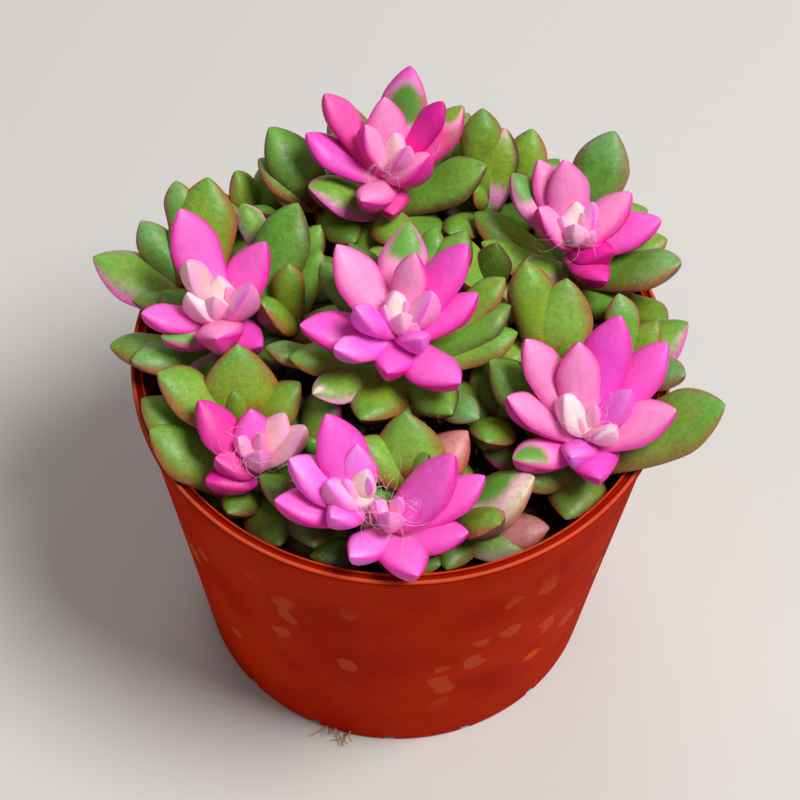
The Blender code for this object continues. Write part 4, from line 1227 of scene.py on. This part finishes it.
def make_soil(material):
    """The body of soil, its crumbly surface level with the solid's, its side just inside the pot's wall."""
    edge = inner_radius(SOIL_LEVEL) - GAP
    ring_bottom = FOOT_HEIGHT + FLOOR + GAP
    reaches = [edge * step / SOIL_RINGS for step in range(SOIL_RINGS)]
    profile = [(reach, soil_height(reach, 0.0)) for reach in reaches]
    profile += [
        (edge, SOIL_LEVEL),
        (inner_radius(ring_bottom) - GAP, ring_bottom),
        (PAD_RADIUS, ring_bottom),
        (PAD_RADIUS - FLOOR - GAP, FLOOR + GAP),
        (0.0, FLOOR + GAP)]
    soil = applied(turned("potting_soil", profile, SOIL_SEGMENTS, material))
    draw = Random(GRAIN_SEED)
    for vertex in soil.data.vertices:
        if vertex.co.z > SOIL_LEVEL - EASE:
            vertex.co.z += draw.uniform(*SOIL_ROUGH)
    soil.data.shade_smooth()
    dress(soil, "soil", slot="soil")


def press_in(bm, bearing, reach, turn, shape, size, subdivisions):
    """A flattened ball on the soil, sunk to its middle."""
    spot = polar(reach, bearing)
    spot.z = soil_height(spot.x, spot.y)
    place = Matrix.Translation(spot) @ turn @ Matrix.Diagonal((1.0, *shape, 1.0))
    bmesh.ops.create_icosphere(bm, subdivisions=subdivisions, radius=size, matrix=place)


def make_stones(material):
    """The pebbles of the solid, where it has them, and finer grit strewn between them."""
    bm = bmesh.new()
    draw = Random(STONE_SEED)
    limit = inner_radius(SOIL_LEVEL) - STONE_MARGIN
    for index in range(STONES):
        size = draw.uniform(*STONE_SIZES)
        shape = (draw.uniform(*STONE_DEPTHS), draw.uniform(*STONE_HEIGHTS))
        turn = Matrix.Rotation(draw.uniform(0, pi), 4, "Z")
        reach = limit * sqrt((index + 0.5) / STONES)
        press_in(bm, index * radians(GOLDEN_ANGLE), reach, turn, shape, size, 3)
    draw = Random(GRAIN_SEED)
    for _ in range(GRAINS):
        bearing = draw.uniform(0, 2 * pi)
        reach = limit * sqrt(draw.random())
        shape = (draw.uniform(*GRAIN_DEPTHS), draw.uniform(*GRAIN_HEIGHTS))
        turn = Matrix.Rotation(draw.uniform(0, pi), 4, "Z") @ Matrix.Rotation(draw.uniform(0, pi), 4, "X")
        press_in(bm, bearing, reach, turn, shape, draw.uniform(*GRAIN_SIZES), 1)
    for vertex in bm.verts:
        vertex.co += anywhere(draw) * GRIT_ROUGH
    dress(smooth_piece(finished_mesh("soil_grit", bm), material), slot="soil")


def thread(points, radius, sides):
    """Vertices and faces of a thin round thread along a list of points, tapering at its far end."""
    points = [np.array(point) for point in points]
    rings = []
    for index, point in enumerate(points):
        ahead = points[min(index + 1, len(points) - 1)] - points[max(index - 1, 0)]
        ahead = ahead / np.linalg.norm(ahead)
        lean = np.cross(ahead, ASKEW)
        lean = lean / np.linalg.norm(lean)
        other = np.cross(ahead, lean)
        thin = radius * (1 - THREAD_TAPER * index / len(points))
        turns = 2 * pi * np.arange(sides) / sides
        rings.append(point + thin * (np.outer(np.cos(turns), lean) + np.outer(np.sin(turns), other)))
    return np.concatenate(rings), lofted_faces(len(points), sides, False)


def join_threads(name, threads, material):
    """One mesh from many threads."""
    points = []
    faces = []
    for some_points, some_faces in threads:
        faces += [tuple(corner + len(points) for corner in face) for face in some_faces]
        points += some_points.tolist()
    mesh = bpy.data.meshes.new(name)
    mesh.from_pydata(points, [], faces)
    return smooth_piece(mesh, material)


def curly_line(start, heading, length, curl, draw):
    """A wandering line from a start, curling as it goes."""
    points = [start]
    heading = heading.normalized()
    turn_axis = anywhere(draw).normalized()
    step = length / HAIR_STEPS
    for _ in range(HAIR_STEPS):
        turn_axis = (turn_axis + 0.5 * anywhere(draw)).normalized()
        turn = Matrix.Rotation(draw.uniform(*THREAD_TURNS) * step / curl, 3, turn_axis)
        heading = (turn @ heading).normalized()
        points.append(points[-1] + heading * step)
    return points


def make_hairs(material):
    """Fine curly hairs between the leaves of each rosette."""
    for plant, (name, (_, heads)) in enumerate(ROSETTES.items()):
        draw = Random(HAIR_SEED + plant)
        threads = []
        for centre, _ in heads:
            for _ in range(HAIRS):
                bearing = draw.uniform(0, 2 * pi)
                away = polar(draw.uniform(*HAIR_AWAY) * MM, bearing, draw.uniform(*HAIR_RISE) * MM)
                start = Vector(centre) * MM + away
                heading = polar(1.0, bearing, draw.uniform(*HAIR_LIFT))
                line = curly_line(start, heading, draw.uniform(*HAIR_LENGTHS), HAIR_CURL, draw)
                threads.append(thread(line, HAIR_RADIUS, HAIR_SIDES))
        dress(join_threads("hairs_" + name, threads, material), slot="pink_leaf")


def make_fibres(material):
    """Dry roots that lie round a notch of the foot, on the surface the pot stands on."""
    draw = Random(FIBRE_SEED)
    threads = []
    for _ in range(FIBRES):
        bearing = radians(draw.uniform(*FIBRE_BEARINGS))
        start = polar(draw.uniform(*FIBRE_REACHES), bearing, draw.uniform(*FIBRE_HEIGHTS))
        line = curly_line(start, polar(1.0, bearing), draw.uniform(*FIBRE_LENGTHS), FIBRE_CURL, draw)
        lying = [Vector((point.x, point.y, max(point.z, FIBRE_LEVEL))) for point in line]
        threads.append(thread(lying, FIBRE_RADIUS, FIBRE_SIDES))
    dress(join_threads("dry_roots", threads, material), slot="soil")


def make_camera():
    data = bpy.data.cameras.new("camera")
    data.lens = CAMERA_LENS
    data.sensor_width = SENSOR
    data.sensor_fit = "HORIZONTAL"
    data.clip_start, data.clip_end = CLIPS
    camera = link(bpy.data.objects.new("camera", data))
    height = radians(CAMERA_HEIGHT)
    roll = radians(CAMERA_ROLL)
    back = Vector((0.0, -cos(height), sin(height)))
    level = Vector((1.0, 0.0, 0.0))
    rise = back.cross(level)
    right = level * cos(roll) + rise * sin(roll)
    up = rise * cos(roll) - level * sin(roll)
    place = Matrix((right, up, back)).transposed().to_4x4()
    place.translation = Vector(CAMERA_TARGET) + back * CAMERA_DISTANCE
    camera.matrix_world = place
    bpy.context.scene.camera = camera


def make_light(name, place, target, size, power, colour):
    data = bpy.data.lights.new(name, "AREA")
    data.shape = "DISK"
    data.size = size
    data.energy = power
    data.color = colour
    lamp = link(bpy.data.objects.new(name, data))
    lamp.location = place
    lamp.rotation_euler = (Vector(target) - Vector(place)).to_track_quat("-Z", "Y").to_euler()


def make_stage():
    """A plain pale floor and soft studio light."""
    bm = bmesh.new()
    bmesh.ops.create_grid(bm, x_segments=1, y_segments=1, size=FLOOR_SIZE / 2)
    floor = link(bpy.data.objects.new("studio_floor", finished_mesh("studio_floor", bm)))
    floor.data.materials.append(floor_material())
    world = bpy.data.worlds.new("studio")
    world.use_nodes = True
    sky = world.node_tree.nodes["Background"]
    sky.inputs["Color"].default_value = WORLD_COLOUR
    sky.inputs["Strength"].default_value = WORLD_LIGHT
    bpy.context.scene.world = world
    for name, place, size, power, colour in LIGHTS:
        make_light(name, place, CAMERA_TARGET, size, power, colour)
    bpy.context.scene.view_settings.view_transform = "Standard"


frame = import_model()
make_camera()
make_stage()

materials = {slot: leaf_material(slot.replace("_", " "), **finish) for slot, finish in LEAF_FINISHES.items()}
stems, roots = plan_stems()
leaves = plan_leaves(stems, roots)
make_plants(stems, leaves, materials)
make_pot(pot_material())
make_soil(soil_material())
make_stones(stone_material())
make_hairs(hair_material())
make_fibres(fibre_material())
